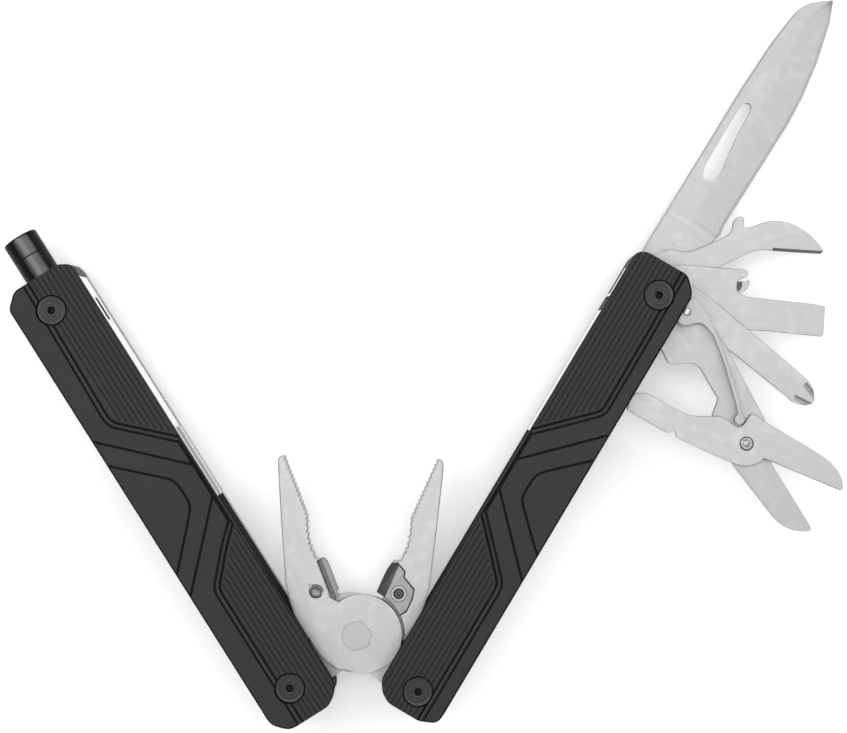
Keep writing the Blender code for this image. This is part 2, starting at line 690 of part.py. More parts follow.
DRIVER = [
    (-0.5, 5.6), (6.6, 7.1), (19.6, 6.8), (35.4, 6.6), (38.2, 5.2), (39.1, 4.3), (39.2, 3.2),
    (38.5, 2.3), (35.4, 0.9), (34.5, 1.1), (18.3, 1.1), (12.0, 0.2), (7.0, -2.0), (2.3, -4.5),
]
SHEARS = [
    (-0.5, 5.5), (6.0, 6.9), (16.7, 7.2), (24.2, 6.7), (29.4, 6.5), (34.6, 6.2), (38.0, 4.2),
    (41.0, 2.6), (57.1, 2.8), (57.6, 2.5), (57.4, 1.6), (55.6, -0.9), (54.0, -1.9),
    (51.8, -2.5), (37.3, -4.3), (32.0, -4.6), (27.6, -3.4), (25.4, -0.7), (24.8, 0.1),
    (17.3, 0.3), (15.9, -0.3), (14.0, -3.9), (13.1, -4.9), (10.4, -4.6), (2.3, -4.6),
]
# The scissors lever is drawn around its own rivet.
LEVER = [
    (-25.5, 0.8), (-24.6, 2.0), (-22.9, 2.7), (-20.0, 2.4), (-13.6, 1.4), (-11.7, 1.7),
    (-8.8, 2.7), (-7.3, 3.5), (-4.9, 3.3), (-3.6, 2.7), (-2.5, 2.6), (-1.8, 3.6), (-1.6, 4.9),
    (-1.2, 6.1), (-0.2, 6.1), (3.1, 5.3), (13.3, 3.4), (17.2, 2.4), (19.9, 1.0), (21.6, -1.0),
    (21.7, -2.0), (21.1, -2.4), (6.5, -1.7), (4.0, -2.2), (1.6, -4.6), (-1.7, -4.7),
    (-13.4, -3.8), (-14.1, -3.5), (-14.6, -2.6), (-15.1, -2.6), (-15.6, -3.4), (-16.3, -3.5),
    (-25.4, -1.9),
]
LEAF_SPRING = [
    (4.6, 2.7), (6.0, 2.0), (7.4, 2.7), (7.7, 4.2), (12.0, 4.9), (19.0, 4.1), (24.5, 3.2),
    (28.0, 2.2), (30.3, 0.9), (31.2, 1.3), (28.6, 3.0), (24.8, 4.0), (19.2, 4.9), (12.0, 5.8),
    (6.4, 5.4), (4.7, 4.7),
]
SHEARS_RIVET_BORE, SPRING_RIVET_BORE = 1.3, 0.9
# Rivets: (radius, height).
SHEARS_RIVET_PROFILE = [
    (0, 1.45), (1.1, 1.45), (1.1, 4.25), (1.75, 4.25), (1.75, 4.5), (1.3, 4.75), (0, 4.8),
]
SPRING_RIVET_PROFILE = [
    (0, 1.6), (0.7, 1.6), (0.7, 2.85), (1.3, 2.85), (1.3, 4.15), (0.7, 4.15), (0.7, 5.0),
    (0, 5.1),
]


def tool(name, body, outline, look, rim, holes=(), rise=None):
    """A tool on the common pin. body names its layer and its frame."""
    plate(
        name, outline, *LAYERS[body], holes=[(0, 0, TOOL_PIN_R + FIT), *holes],
        low_in=rim, high_in=rim, rise=rise, material=look, parent=tool_frames[body],
    )


def knife():
    rows = ccw([(*point, RIM) for point in TANG_BACK] + BLADE)
    tool(
        "knife_blade", "knife", [row[:2] for row in rows],
        metal("knife_steel", roughness=0.28, rgb=BLADE_STEEL),
        rim=[row[2] for row in rows], holes=[BLADE_SLOT],
        rise=STACK["knife"] / 2 - BLADE_FLAT,
    )


def scissors():
    """The fixed half, the lever on its rivet, and the leaf spring on its own rivet."""
    body = tool_frames["shears"]
    rivet_hole = (*SHEARS_RIVET, SHEARS_RIVET_BORE)
    spring_hole = (*SPRING_RIVET, SPRING_RIVET_BORE)
    tool(
        "scissors_frame", "shears", TANG_BACK + SHEARS, metal("scissors_frame_steel"),
        rim=RIM, holes=[rivet_hole, spring_hole],
    )
    plate(
        "scissors_lever", LEVER, *LAYERS["lever"], holes=[(0, 0, SHEARS_RIVET_BORE)],
        high_in=RIM, low_in=RIM, material=metal("scissors_lever_steel"), parent=lever_frame,
    )
    turned(
        "scissors_rivet", SHEARS_RIVET_PROFILE, count=16, centre=SHEARS_RIVET,
        material=metal("scissors_rivet_steel", roughness=0.25), parent=body,
    )
    plate(
        "scissors_spring", LEAF_SPRING, *LAYERS["leaf"], holes=[spring_hole],
        material=metal("scissors_spring_steel", roughness=0.22), parent=body,
    )
    turned(
        "scissors_spring_rivet", SPRING_RIVET_PROFILE, count=16, centre=SPRING_RIVET,
        material=metal("spring_rivet_steel", roughness=0.25), parent=body,
    )


knife()
for tool_name, tool_body, tool_outline in (
    ("hook_tool", "hook", HOOK),
    ("bottle_opener", "opener", OPENER),
    ("phillips_driver", "driver", DRIVER),
):
    tool(tool_name, tool_body, TANG_BACK + tool_outline, metal(f"{tool_body}_steel"), rim=0.15)
scissors()
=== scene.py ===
# A folding multi-tool, open and lying flat on a floor just under z = 0. Both handles and the
# plier jaws point towards +Y: the left handle leans to -X and the right one to +X. The knife,
# hook, opener, driver and scissors fan out towards +X. Each piece is drawn in millimetres in
# the frame of its own joint, with z up from the joint.
import json
import math

import bmesh
import bpy
import numpy as np
from mathutils import Matrix, Vector
from mathutils.geometry import tessellate_polygon


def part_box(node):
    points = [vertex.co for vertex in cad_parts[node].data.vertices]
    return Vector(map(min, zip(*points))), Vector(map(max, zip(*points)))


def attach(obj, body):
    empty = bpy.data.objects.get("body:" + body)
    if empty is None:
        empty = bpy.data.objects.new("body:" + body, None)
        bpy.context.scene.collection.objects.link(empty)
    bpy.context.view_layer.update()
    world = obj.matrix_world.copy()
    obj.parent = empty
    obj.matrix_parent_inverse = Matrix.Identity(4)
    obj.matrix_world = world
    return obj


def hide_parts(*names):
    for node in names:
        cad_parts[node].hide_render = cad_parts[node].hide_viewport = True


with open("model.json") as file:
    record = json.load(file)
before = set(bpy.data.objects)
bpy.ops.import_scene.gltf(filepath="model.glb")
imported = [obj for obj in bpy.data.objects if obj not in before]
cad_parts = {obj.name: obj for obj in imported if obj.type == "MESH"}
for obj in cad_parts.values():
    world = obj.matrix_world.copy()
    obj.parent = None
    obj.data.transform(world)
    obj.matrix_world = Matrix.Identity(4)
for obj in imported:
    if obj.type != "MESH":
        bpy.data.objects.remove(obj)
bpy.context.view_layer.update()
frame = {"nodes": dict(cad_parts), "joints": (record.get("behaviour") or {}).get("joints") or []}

JOINTS = {joint["name"]: joint for joint in frame["joints"]}
MM = 0.001
TOOL_THICK = 0.0196  # metres, floor to top

# Each part's angle from +X, in degrees.
HANDLE_DEG = {"left": 122.25, "right": 59.25}
KNIFE_DEG, HOOK_DEG, OPENER_DEG, DRIVER_DEG = 58.5, 15.0, -6.0, -39.0
SHEARS_DEG, LEVER_DEG = -59.0, -20.0
LEFT_JAW_DEG, RIGHT_JAW_DEG = 21.16, -24.2
JAW_GRAIN_DEG = {"left": 111.0, "right": 66.0}


def place(joint, deg):
    x, y, z = JOINTS[joint]["pos_m"]
    return Matrix.Translation((x, y, z)) @ Matrix.Rotation(math.radians(deg), 4, "Z")


# Local x runs up each handle. Local y points outwards on the left and inwards on the right.
LEFT = place("left_handle_fold", HANDLE_DEG["left"])
RIGHT = place("right_handle_fold", HANDLE_DEG["right"])


# ---------------------------------------------------------------- materials --
def grey(level, blue=None):
    return (level, level, level if blue is None else blue)


def tint(tone, by, add=0.0):
    return tuple(min(1.0, channel * by + add) for channel in tone)


class Look:
    """A material with one Principled shader, and a short way to write its nodes."""

    def __init__(self, name, rough, metal, colour):
        self.mat = bpy.data.materials.new(name)
        self.mat.use_nodes = True
        self.tree = self.mat.node_tree
        self.tree.nodes.clear()
        out = self.tree.nodes.new("ShaderNodeOutputMaterial")
        self.bsdf = self.tree.nodes.new("ShaderNodeBsdfPrincipled")
        self.tree.links.new(self.bsdf.outputs[0], out.inputs[0])
        self.surface({"Base Color": (*colour, 1.0), "Roughness": rough, "Metallic": metal})
        self.mat.diffuse_color = (*colour, 1.0)

    def set(self, node, key, value):
        if isinstance(value, bpy.types.NodeSocket):
            self.tree.links.new(value, node.inputs[key])
        else:
            node.inputs[key].default_value = value

    def surface(self, inputs):
        for key, value in inputs.items():
            self.set(self.bsdf, key, value)

    def node(self, kind, inputs=None, **props):
        made = self.tree.nodes.new(kind)
        for key, value in props.items():
            setattr(made, key, value)
        for key, value in (inputs or {}).items():
            self.set(made, key, value)
        return made

    def coords(self, turn=0.0, stretch=(1, 1, 1), centre=(0, 0, 0)):
        """Object coordinates about a centre, turned (radians) and then stretched."""
        start = self.node("ShaderNodeTexCoord").outputs["Object"]
        away = tuple(-c for c in centre)
        moved = self.node("ShaderNodeMapping", {"Vector": start, "Location": away})
        turned = self.node(
            "ShaderNodeMapping", {"Vector": moved.outputs[0], "Rotation": (0, 0, -turn)}
        )
        last = self.node("ShaderNodeMapping", {"Vector": turned.outputs[0], "Scale": stretch})
        return last.outputs[0]

    def split(self, vector):
        return self.node("ShaderNodeSeparateXYZ", {"Vector": vector}).outputs

    def noise(self, vector, scale, detail=4.0, rough=0.5):
        inputs = {"Vector": vector, "Scale": scale, "Detail": detail, "Roughness": rough}
        return self.node("ShaderNodeTexNoise", inputs).outputs["Fac"]

    def ramp(self, value, span=(0.3, 0.7), to=(0.0, 1.0)):
        inputs = {
            "Value": value, "From Min": span[0], "From Max": span[1],
            "To Min": to[0], "To Max": to[1],
        }
        return self.node("ShaderNodeMapRange", inputs).outputs[0]

    def mix(self, factor, first, second):
        made = self.node("ShaderNodeMix", data_type="RGBA")
        self.set(made, 0, factor)
        for key, value in ((6, first), (7, second)):
            if not isinstance(value, bpy.types.NodeSocket):
                value = (*value, 1.0)
            self.set(made, key, value)
        return made.outputs[2]

    def math(self, operation, first, second=0.0):
        inputs = {0: first, 1: second}
        return self.node("ShaderNodeMath", inputs, operation=operation).outputs[0]

    def times(self, value, share):
        return self.math("MULTIPLY", value, share)

    def radius(self, vector):
        x, y, _ = self.split(vector)
        return self.math("SQRT", self.math("ADD", self.times(x, x), self.times(y, y)))

    def bump(self, height, strength, distance, normal=None):
        inputs = {"Height": height, "Strength": strength, "Distance": distance}
        if normal is not None:
            inputs["Normal"] = normal
        return self.node("ShaderNodeBump", inputs).outputs[0]


def black_scale(name, deg, tone=0.0165, rough=0.52, wear=0.08, sheen=0.30):
    """Black anodised alloy: a fine grain, faint cloudiness and lighter rubbed patches."""
    look = Look(name, rough, 0.0, grey(tone))
    turn = math.radians(deg)
    at = look.coords(turn)
    grain = look.noise(at, scale=5200.0, detail=3.0, rough=0.6)
    cloud = look.noise(at, scale=90.0, detail=3.0)
    drawn = look.noise(look.coords(turn, stretch=(120, 2600, 2600)), scale=1.0, rough=0.6)
    base = look.mix(
        look.ramp(cloud, span=(0.35, 0.68)),
        grey(tone * 0.9, blue=tone * 0.93),
        grey(tone * 1.12, blue=tone * 1.13),
    )
    specks = look.times(look.ramp(grain, span=(0.56, 0.75)), share=0.35)
    base = look.mix(specks, base, grey(0.046, blue=0.047))
    streaks = look.times(look.ramp(drawn, span=(0.55, 0.75)), share=0.18)
    base = look.mix(streaks, base, grey(0.040, blue=0.041))
    patches = look.noise(at, scale=260.0, detail=5.0, rough=0.65)
    worn = look.times(look.ramp(patches, span=(0.56, 0.78)), share=wear)
    base = look.mix(worn, base, grey(0.060, blue=0.061))
    spread = look.ramp(cloud, to=(rough - 0.03, rough + 0.06))
    look.surface({
        "Base Color": base,
        "Roughness": look.math("SUBTRACT", spread, look.times(worn, share=0.25)),
        "Specular IOR Level": sheen,
        "Normal": look.bump(grain, strength=0.30, distance=0.00003),
    })
    return look.mat


def steel(name, deg, tone, rough=0.50, lines=0.25, blast=0.5):
    """Satin steel: blasted grain over faint grinding lines, soft clouding and rubbed patches."""
    look = Look(name, rough, 1.0, tone)
    turn = math.radians(deg)
    at = look.coords(turn)
    line = look.noise(look.coords(turn, stretch=(70, 3400, 3400)), scale=1.0, rough=0.6)
    grain = look.noise(at, scale=6500.0, detail=2.0)
    cloud = look.noise(at, scale=60.0)
    # Hairline scratches cross the grinding lines at half a radian.
    hair = look.noise(look.coords(turn + 0.5, stretch=(60, 2400, 2400)), scale=1.0, detail=2.0)
    base = look.mix(look.ramp(cloud), tint(tone, by=0.965), tint(tone, by=1.035))
    ground = look.times(look.ramp(line, span=(0.35, 0.7)), share=0.30 * lines)
    base = look.mix(ground, base, tint(tone, by=0.80))
    specks = look.times(look.ramp(grain, span=(0.5, 0.75)), share=0.12)
    base = look.mix(specks, base, tint(tone, by=0.75))
    patches = look.noise(at, scale=420.0, detail=3.0, rough=0.6)
    worn = look.times(look.ramp(patches, span=(0.52, 0.74)), share=0.35)
    base = look.mix(worn, base, tint(tone, by=1.12))
    spread = look.ramp(line, to=(rough - 0.03, rough + 0.04))
    spread = look.math("ADD", spread, look.ramp(cloud, to=(-0.02, 0.03)))
    scratches = look.times(look.ramp(hair, span=(0.72, 0.80)), share=0.10)
    spread = look.math("SUBTRACT", spread, scratches)
    spread = look.math("SUBTRACT", spread, look.times(worn, share=0.15))
    relief = look.bump(line, strength=0.3 * lines, distance=0.000018)
    look.surface({
        "Base Color": base,
        "Roughness": spread,
        "Normal": look.bump(grain, strength=blast, distance=0.000018, normal=relief),
    })
    return look.mat


def dark_flat_liner(name, deg):
    """Steel that is near-black on its flat faces away from the middle plane, and bright on its rims."""
    tone = grey(0.66, blue=0.655)
    level_above = 0.6  # the upward part of the normal on a flat face
    dark_flats_from = 0.0052  # metres from the tool's middle plane
    look = Look(name, 0.45, 1.0, tone)
    turn = math.radians(deg)
    facing = look.split(look.node("ShaderNodeNewGeometry").outputs["True Normal"])[2]
    height = look.split(look.node("ShaderNodeTexCoord").outputs["Object"])[2]
    flat = look.math("GREATER_THAN", look.math("ABSOLUTE", facing), level_above)
    from_middle = look.math("ABSOLUTE", look.math("SUBTRACT", height, TOOL_THICK / 2))
    dark_flats = look.times(flat, look.math("GREATER_THAN", from_middle, dark_flats_from))
    line = look.noise(look.coords(turn, stretch=(70, 3400, 3400)), scale=1.0, rough=0.6)
    grain = look.noise(look.coords(turn), scale=6000.0, detail=2.0)
    bright = look.mix(look.times(look.ramp(line), share=0.35), tone, tint(tone, by=0.78))
    dark = look.mix(
        look.ramp(grain, span=(0.4, 0.7)), grey(0.010, blue=0.011), grey(0.018, blue=0.019)
    )
    look.surface({
        "Base Color": look.mix(dark_flats, bright, dark),
        "Metallic": look.math("SUBTRACT", 1.0, dark_flats),
        "Roughness": look.math(
            "ADD", look.ramp(line, to=(0.36, 0.46)), look.times(dark_flats, share=0.2)
        ),
        "Normal": look.bump(grain, strength=0.3, distance=0.00002),
    })
    return look.mat


def turned_metal(name, centre, tone, rough, rings=2400.0):
    """Lathe-turned metal with rings, so many a metre, about a centre."""
    look = Look(name, rough, 1.0, tone)
    at = look.coords(centre=centre)
    radius = look.radius(at)
    wave = look.math("SINE", look.times(radius, share=rings * 6.2832))
    coarse = look.math("SINE", look.times(radius, share=rings * 0.9))
    grain = look.noise(at, scale=5000.0, detail=2.0)
    mottled = look.ramp(look.noise(at, scale=600.0, detail=3.0), span=(0.35, 0.7))
    bands = look.ramp(coarse, span=(-1, 1), to=(0.0, 0.55))
    base = look.mix(bands, tone, tint(tone, by=2.0, add=0.012))
    base = look.mix(look.times(mottled, share=0.25), base, tint(tone, by=0.6))
    look.surface({
        "Base Color": base,
        "Roughness": look.ramp(mottled, span=(0, 1), to=(rough - 0.05, rough + 0.07)),
    })
    height = look.math("ADD", look.times(wave, share=0.5), look.times(grain, share=0.4))
    look.surface({"Normal": look.bump(height, strength=0.3, distance=0.00002)})
    return look.mat


def anodised(name):
    """Satin black anodised barrel: a fine grain, and a pale band where it faces the viewer, a painted
    highlight.
    """
    tone, rough = grey(0.0035, blue=0.0037), 0.30
    look = Look(name, rough, 0.0, tone)
    # Where the barrel faces the camera it gets a pale colour and stronger specular: a painted
    # highlight.
    facing = look.node("ShaderNodeLayerWeight", {"Blend": 0.5}).outputs["Facing"]
    band = look.ramp(facing, span=(0.0, 0.15), to=(1.0, 0.0))
    look.surface({"Specular IOR Level": look.ramp(band, span=(0.0, 1.0), to=(0.10, 0.80))})
    at = look.coords()
    grain = look.noise(at, scale=4200.0, detail=3.0)
    cloud = look.noise(at, scale=160.0, detail=3.0)
    base = look.mix(look.ramp(cloud), tone, tint(tone, by=1.7))
    base = look.mix(band, base, grey(0.075, blue=0.076))
    patches = look.noise(at, scale=500.0, rough=0.6)
    worn = look.times(look.ramp(patches, span=(0.62, 0.80)), share=0.12)
    look.surface({
        "Base Color": look.mix(worn, base, grey(0.03)),
        "Roughness": look.ramp(cloud, to=(rough - 0.04, rough + 0.06)),
        "Normal": look.bump(grain, strength=0.15, distance=0.00002),
    })
    return look.mat


def phosphor(name):
    look = Look(name, 0.3, 0.0, (0.8, 0.66, 0.15))
    speck = look.noise(look.coords(), scale=2500.0, detail=3.0)
    mixed = look.ramp(speck, span=(0.4, 0.6))
    look.surface({
        "Base Color": look.mix(mixed, (0.80, 0.64, 0.12), (0.88, 0.78, 0.30)),
        "Subsurface Weight": 0.2,
        "Subsurface Scale": 0.0005,
    })
    return look.mat


def clear_lens(name):
    """Clear plastic, dulled here and there by dust."""
    look = Look(name, 0.04, 0.0, (0.92, 0.95, 0.97))
    dust = look.noise(look.coords(), scale=1800.0)
    look.surface({
        "Roughness": look.ramp(dust, span=(0.6, 0.8), to=(0.03, 0.22)),
        "Transmission Weight": 0.9,
        "IOR": 1.49,
    })
    return look.mat


def screw_look(name, centre):
    """Blackened steel turned in rings; the socket in the middle is painted near-black and dull as
    painted shade.
    """
    socket_radius = 0.00080
    look = Look(name, 0.34, 0.6, grey(0.02))
    at = look.coords(centre=centre)
    radius = look.radius(at)
    along = look.node("ShaderNodeCombineXYZ", {"X": radius}).outputs[0]
    ring = look.noise(along, scale=5200.0, detail=2.0)
    grain = look.noise(at, scale=4200.0, detail=2.0)
    base = look.mix(
        look.ramp(ring, span=(0.38, 0.62)), grey(0.018, blue=0.019), grey(0.062, blue=0.063)
    )
    specks = look.times(look.ramp(grain, span=(0.5, 0.75)), share=0.3)
    base = look.mix(specks, base, grey(0.012))
    # The socket is painted near-black, non-metallic and rough: painted shade in the recess.
    hole = look.math("LESS_THAN", radius, socket_radius)
    look.surface({
        "Base Color": look.mix(hole, base, grey(0.0015)),
        "Metallic": look.times(look.math("SUBTRACT", 1.0, hole), share=0.6),
        "Roughness": look.math(
            "ADD", look.ramp(ring, to=(0.30, 0.42)), look.times(hole, share=0.4)
        ),
        "Specular IOR Level": 0.35,
        "Normal": look.bump(ring, strength=0.35, distance=0.00003),
    })
    return look.mat


# ----------------------------------------------------------------- outlines --
def circle(radius, count):
    angles = [2 * math.pi * i / count for i in range(count)]
    return [(radius * math.cos(angle), radius * math.sin(angle)) for angle in angles]


def round_at(x, y, radius, count=32):
    return [(x + across, y + up) for across, up in circle(radius, count)]


def arc(radius, first_deg, last_deg, count):
    """Points about the origin from one angle to another."""
    steps = [i / (count - 1) for i in range(count)]
    angles = [
        math.radians(first_deg + (last_deg - first_deg) * i / (count - 1)) for i in range(len(steps))
    ]
    return [(radius * math.cos(angle), radius * math.sin(angle)) for angle in angles]


def double_area(points):
    """Twice the enclosed area, positive when the points run anticlockwise."""
    following = points[1:] + points[:1]
    return sum(here[0] * then[1] - then[0] * here[1] for here, then in zip(points, following))


def ccw(points):
    """The outline run anticlockwise."""
    points = [tuple(point) for point in points]
    return points if double_area(points) > 0 else points[::-1]


def mitre(before, after):
    """The move at a corner that shifts both of its edges one unit to their left."""
    left_before, left_after = (Vector((-way.y, way.x)) for way in (before, after))
    both = left_before + left_after
    return both / max(0.35, both.dot(left_before))


def inset(outline, depth):
    """An anticlockwise outline moved inwards by one depth, or by a list with one a corner."""
    depths = depth if isinstance(depth, list) else [depth] * len(outline)
    if not any(depths):
        return outline
    out = []
    for i, point in enumerate(outline):
        before, after = Vector(outline[i - 1]), Vector(outline[(i + 1) % len(outline)])
        here = Vector(point)
        step = mitre((here - before).normalized(), (after - here).normalized())
        out.append(tuple(here + step * depths[i]))
    return out


def offset(path, distance):
    """An open path moved to its left, with mitred corners."""
    out = []
    for i, point in enumerate(path):
        here = Vector(point)
        before = (here - Vector(path[i - 1]) if i else Vector(path[1]) - here).normalized()
        last = i + 1 == len(path)
        after = before if last else (Vector(path[i + 1]) - here).normalized()
        out.append(tuple(here + mitre(before, after) * distance))
    return out


def bend(corner, before, after, reach, steps):
    """A curve that cuts off a corner, starting and ending at a reach from it."""
    first = corner - before.normalized() * reach
    last = corner + after.normalized() * reach
    return [
        tuple(first * (1 - t) ** 2 + corner * 2 * t * (1 - t) + last * t * t)
        for t in [k / steps for k in range(steps + 1)]
    ]


def soft(points, sharp=40.0, corner=0.2, reach=3.0):
    """Gentle turns become curves, and turns over sharp degrees get a small radius."""
    out = []
    count = len(points)
    for i in range(count):
        previous, here, following = (Vector(points[(i + k) % count]) for k in (-1, 0, 1))
        before, after = here - previous, following - here
        turn = math.degrees(abs(before.angle(after)))
        if turn < 1.5:
            out.append(tuple(here))
            continue
        short = min(before.length, after.length)
        cut = min(corner, 0.45 * short) if turn > sharp else min(reach, 0.499 * short)
        out += bend(here, before, after, cut, 5)
    kept = []
    for point in out:
        if not kept or math.dist(point, kept[-1]) > 0.02:
            kept.append(point)
    while math.dist(kept[0], kept[-1]) < 0.02:
        kept.pop()
    return kept


def smooth_path(path, steps=5, reach=1.6):
    """An open path with its corners rounded."""
    out = [path[0]]
    for points in zip(path, path[1:], path[2:]):
        previous, here, following = map(Vector, points)
        before, after = here - previous, following - here
        cut = min(reach, 0.48 * before.length, 0.48 * after.length)
        out += bend(here, before, after, cut, steps)
    out.append(path[-1])
    return out


# ------------------------------------------------------------------- solids --
def at_height(outline, height):
    return [(x, y, height) for x, y in outline]


def ring_of(solid, points):
    return [solid.verts.new((x * MM, y * MM, z * MM)) for x, y, z in points]


def join(solid, first, second, index=0):
    """A band of faces between two rings."""
    for i in range(len(first)):
        j = (i + 1) % len(first)
        face = solid.faces.new((first[i], first[j], second[j], second[i]))
        face.material_index = index


def fill(solid, outlines, verts):
    """Triangles over the first outline, less the others."""
    loops = [[Vector((point[0], point[1], 0.0)) for point in outline] for outline in outlines]
    for corners in tessellate_polygon(loops):
        solid.faces.new([verts[k] for k in corners])


def lathe(profile, count=64, close=False):
    """A turned solid about local z from (radius, height) points."""
    solid = bmesh.new()
    rings = [
        ring_of(solid, at_height([(0, 0)] if radius < 1e-6 else circle(radius, count), height))
        for radius, height in profile
    ]
    pairs = list(zip(rings, rings[1:]))
    if close:
        pairs.append((rings[-1], rings[0]))
    for first, second in pairs:
        if len(first) > 1 and len(second) > 1:
            join(solid, first, second)
            continue
        for i in range(count):
            j = (i + 1) % count
            if len(first) == 1:
                solid.faces.new((first[0], second[i], second[j]))
            else:
                solid.faces.new((first[i], first[j], second[0]))
    return solid


def loft(sections):
    """A solid through a row of sections, with flat ends."""
    solid = bmesh.new()
    rings = [ring_of(solid, section) for section in sections]
    for first, second in zip(rings, rings[1:]):
        join(solid, first, second)
    solid.faces.new(rings[0])
    solid.faces.new(rings[-1])
    return solid


def bar(low, high):
    """A box between two corners, with its edges eased."""
    solid = bmesh.new()
    bmesh.ops.create_cube(solid, size=1.0)
    size = Vector([end - start for start, end in zip(low, high)]) * MM
    centre = Vector([start + end for start, end in zip(low, high)]) * (MM / 2)
    for vert in solid.verts:
        vert.co = Vector(part * length for part, length in zip(vert.co, size)) + centre
    bmesh.ops.bevel(
        solid, geom=solid.edges[:], offset=0.05 * MM, segments=2, affect="EDGES", profile=0.5
    )
    return solid


def slab(outline, low, high, rim=0.12, holes=(), rims=None, rim_index=0):
    """A flat piece with an eased rim. rims: (inset, height) pairs from bottom to top."""
    outline = ccw(outline)
    solid = bmesh.new()
    rims = rims or [(rim, low), (0.0, low + rim), (0.0, high - rim), (rim, high)]
    laid = [(inset(outline, depth), height) for depth, height in rims]
    rings = [ring_of(solid, at_height(points, height)) for points, height in laid]
    for first, second in zip(rings, rings[1:]):
        join(solid, first, second, rim_index)
    tops, bottoms = [(laid[-1][0], rings[-1])], [(laid[0][0], rings[0])]
    for hole in holes:
        upper = ring_of(solid, at_height(hole, laid[-1][1]))
        lower = ring_of(solid, at_height(hole, laid[0][1]))
        join(solid, upper, lower)
        tops.append((hole, upper))
        bottoms.append((hole, lower))
    for caps in (tops, bottoms):
        fill(solid, [points for points, _ in caps], [vert for _, ring in caps for vert in ring])
    return solid


def plug(outline, low, high):
    """A straight-sided cutter."""
    return slab(outline, low, high, rims=[(0, low), (0, high)])


def groove(path, wide, low, high, floor=0.0):
    """A V or flat-bottomed cutter along a path: wide at the height high, floor wide at low."""
    over = high + (high - low)
    grown = floor + (wide - floor) * 2
    floor = max(floor, 0.02)
    edges = [
        at_height(offset(path, side), height)
        for side, height in ((grown / 2, over), (-grown / 2, over), (-floor / 2, low), (floor / 2, low))
    ]
    return loft(zip(*edges))


def wedge(section, start, end):
    """A cutter with an (x, z) section that runs along y."""
    return loft([[(x, y, z) for x, z in section] for y in (start, end)])


def merged(parts):
    """Several separate cutters as one."""
    whole = bmesh.new()
    for part in parts:
        data = bpy.data.meshes.new("part")
        part.to_mesh(data)
        part.free()
        whole.from_mesh(data)
        bpy.data.meshes.remove(data)
    return whole


# ------------------------------------------------------------------- pieces --
def piece(solid, *materials, name="raw"):
    """An unplaced piece."""
    bmesh.ops.recalc_face_normals(solid, faces=solid.faces)
    data = bpy.data.meshes.new(name)
    solid.to_mesh(data)
    solid.free()
    for material in materials:
        data.materials.append(material)
    made = bpy.data.objects.new(name, data)
    bpy.context.scene.collection.objects.link(made)
    return made


def carve(made, cutters, index=0, operation="DIFFERENCE"):
    """Cuts each solid from the piece, or joins it. New faces take the material slot given,
    or their own if it is None."""
    helpers = []
    for k, solid in enumerate(cutters):
        if index is not None:
            for face in solid.faces:
                face.material_index = index
        helper = piece(solid, *made.data.materials, name="helper")
        helper.data.shade_flat()
        step = made.modifiers.new(f"cut{k}", "BOOLEAN")
        step.operation, step.object, step.solver = operation, helper, "MANIFOLD"
        step.material_mode = "INDEX"
        helpers.append(helper)
    bpy.context.view_layer.update()
    seen = made.evaluated_get(bpy.context.evaluated_depsgraph_get())
    ready = bpy.data.meshes.new_from_object(seen)
    made.modifiers.clear()
    old, made.data = made.data, ready
    bpy.data.meshes.remove(old)
    for helper in helpers:
        bpy.data.objects.remove(helper)


def fit(made, name, matrix, body, replaced=None, sharp=35.0):
    """Names a piece, puts it in its place, shades it and hangs it on its body."""
    made.data.transform(matrix)
    made.data.shade_smooth()
    made.data.set_sharp_from_angle(angle=math.radians(sharp))
    made.name = made.data.name = name
    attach(made, body)
    if replaced:
        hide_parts(replaced)


# ---------------------------------------------------------- handle scales ----
# Heights from the tool's middle plane.
SCALE_IN, TOP = 6.4, 9.8
FIELD = TOP - 0.42  # the ribbed ground
STRIP = 0.86  # width of the sloped strip round it
# The groove, rim and rib slots take darker looks as painted shade; the slope slot takes a lighter look
# as painted highlight.
FACE, GROOVE_SHADE, RIM_SHADE, SLOPE_HIGHLIGHT, RIB_SHADE = range(5)  # material slots

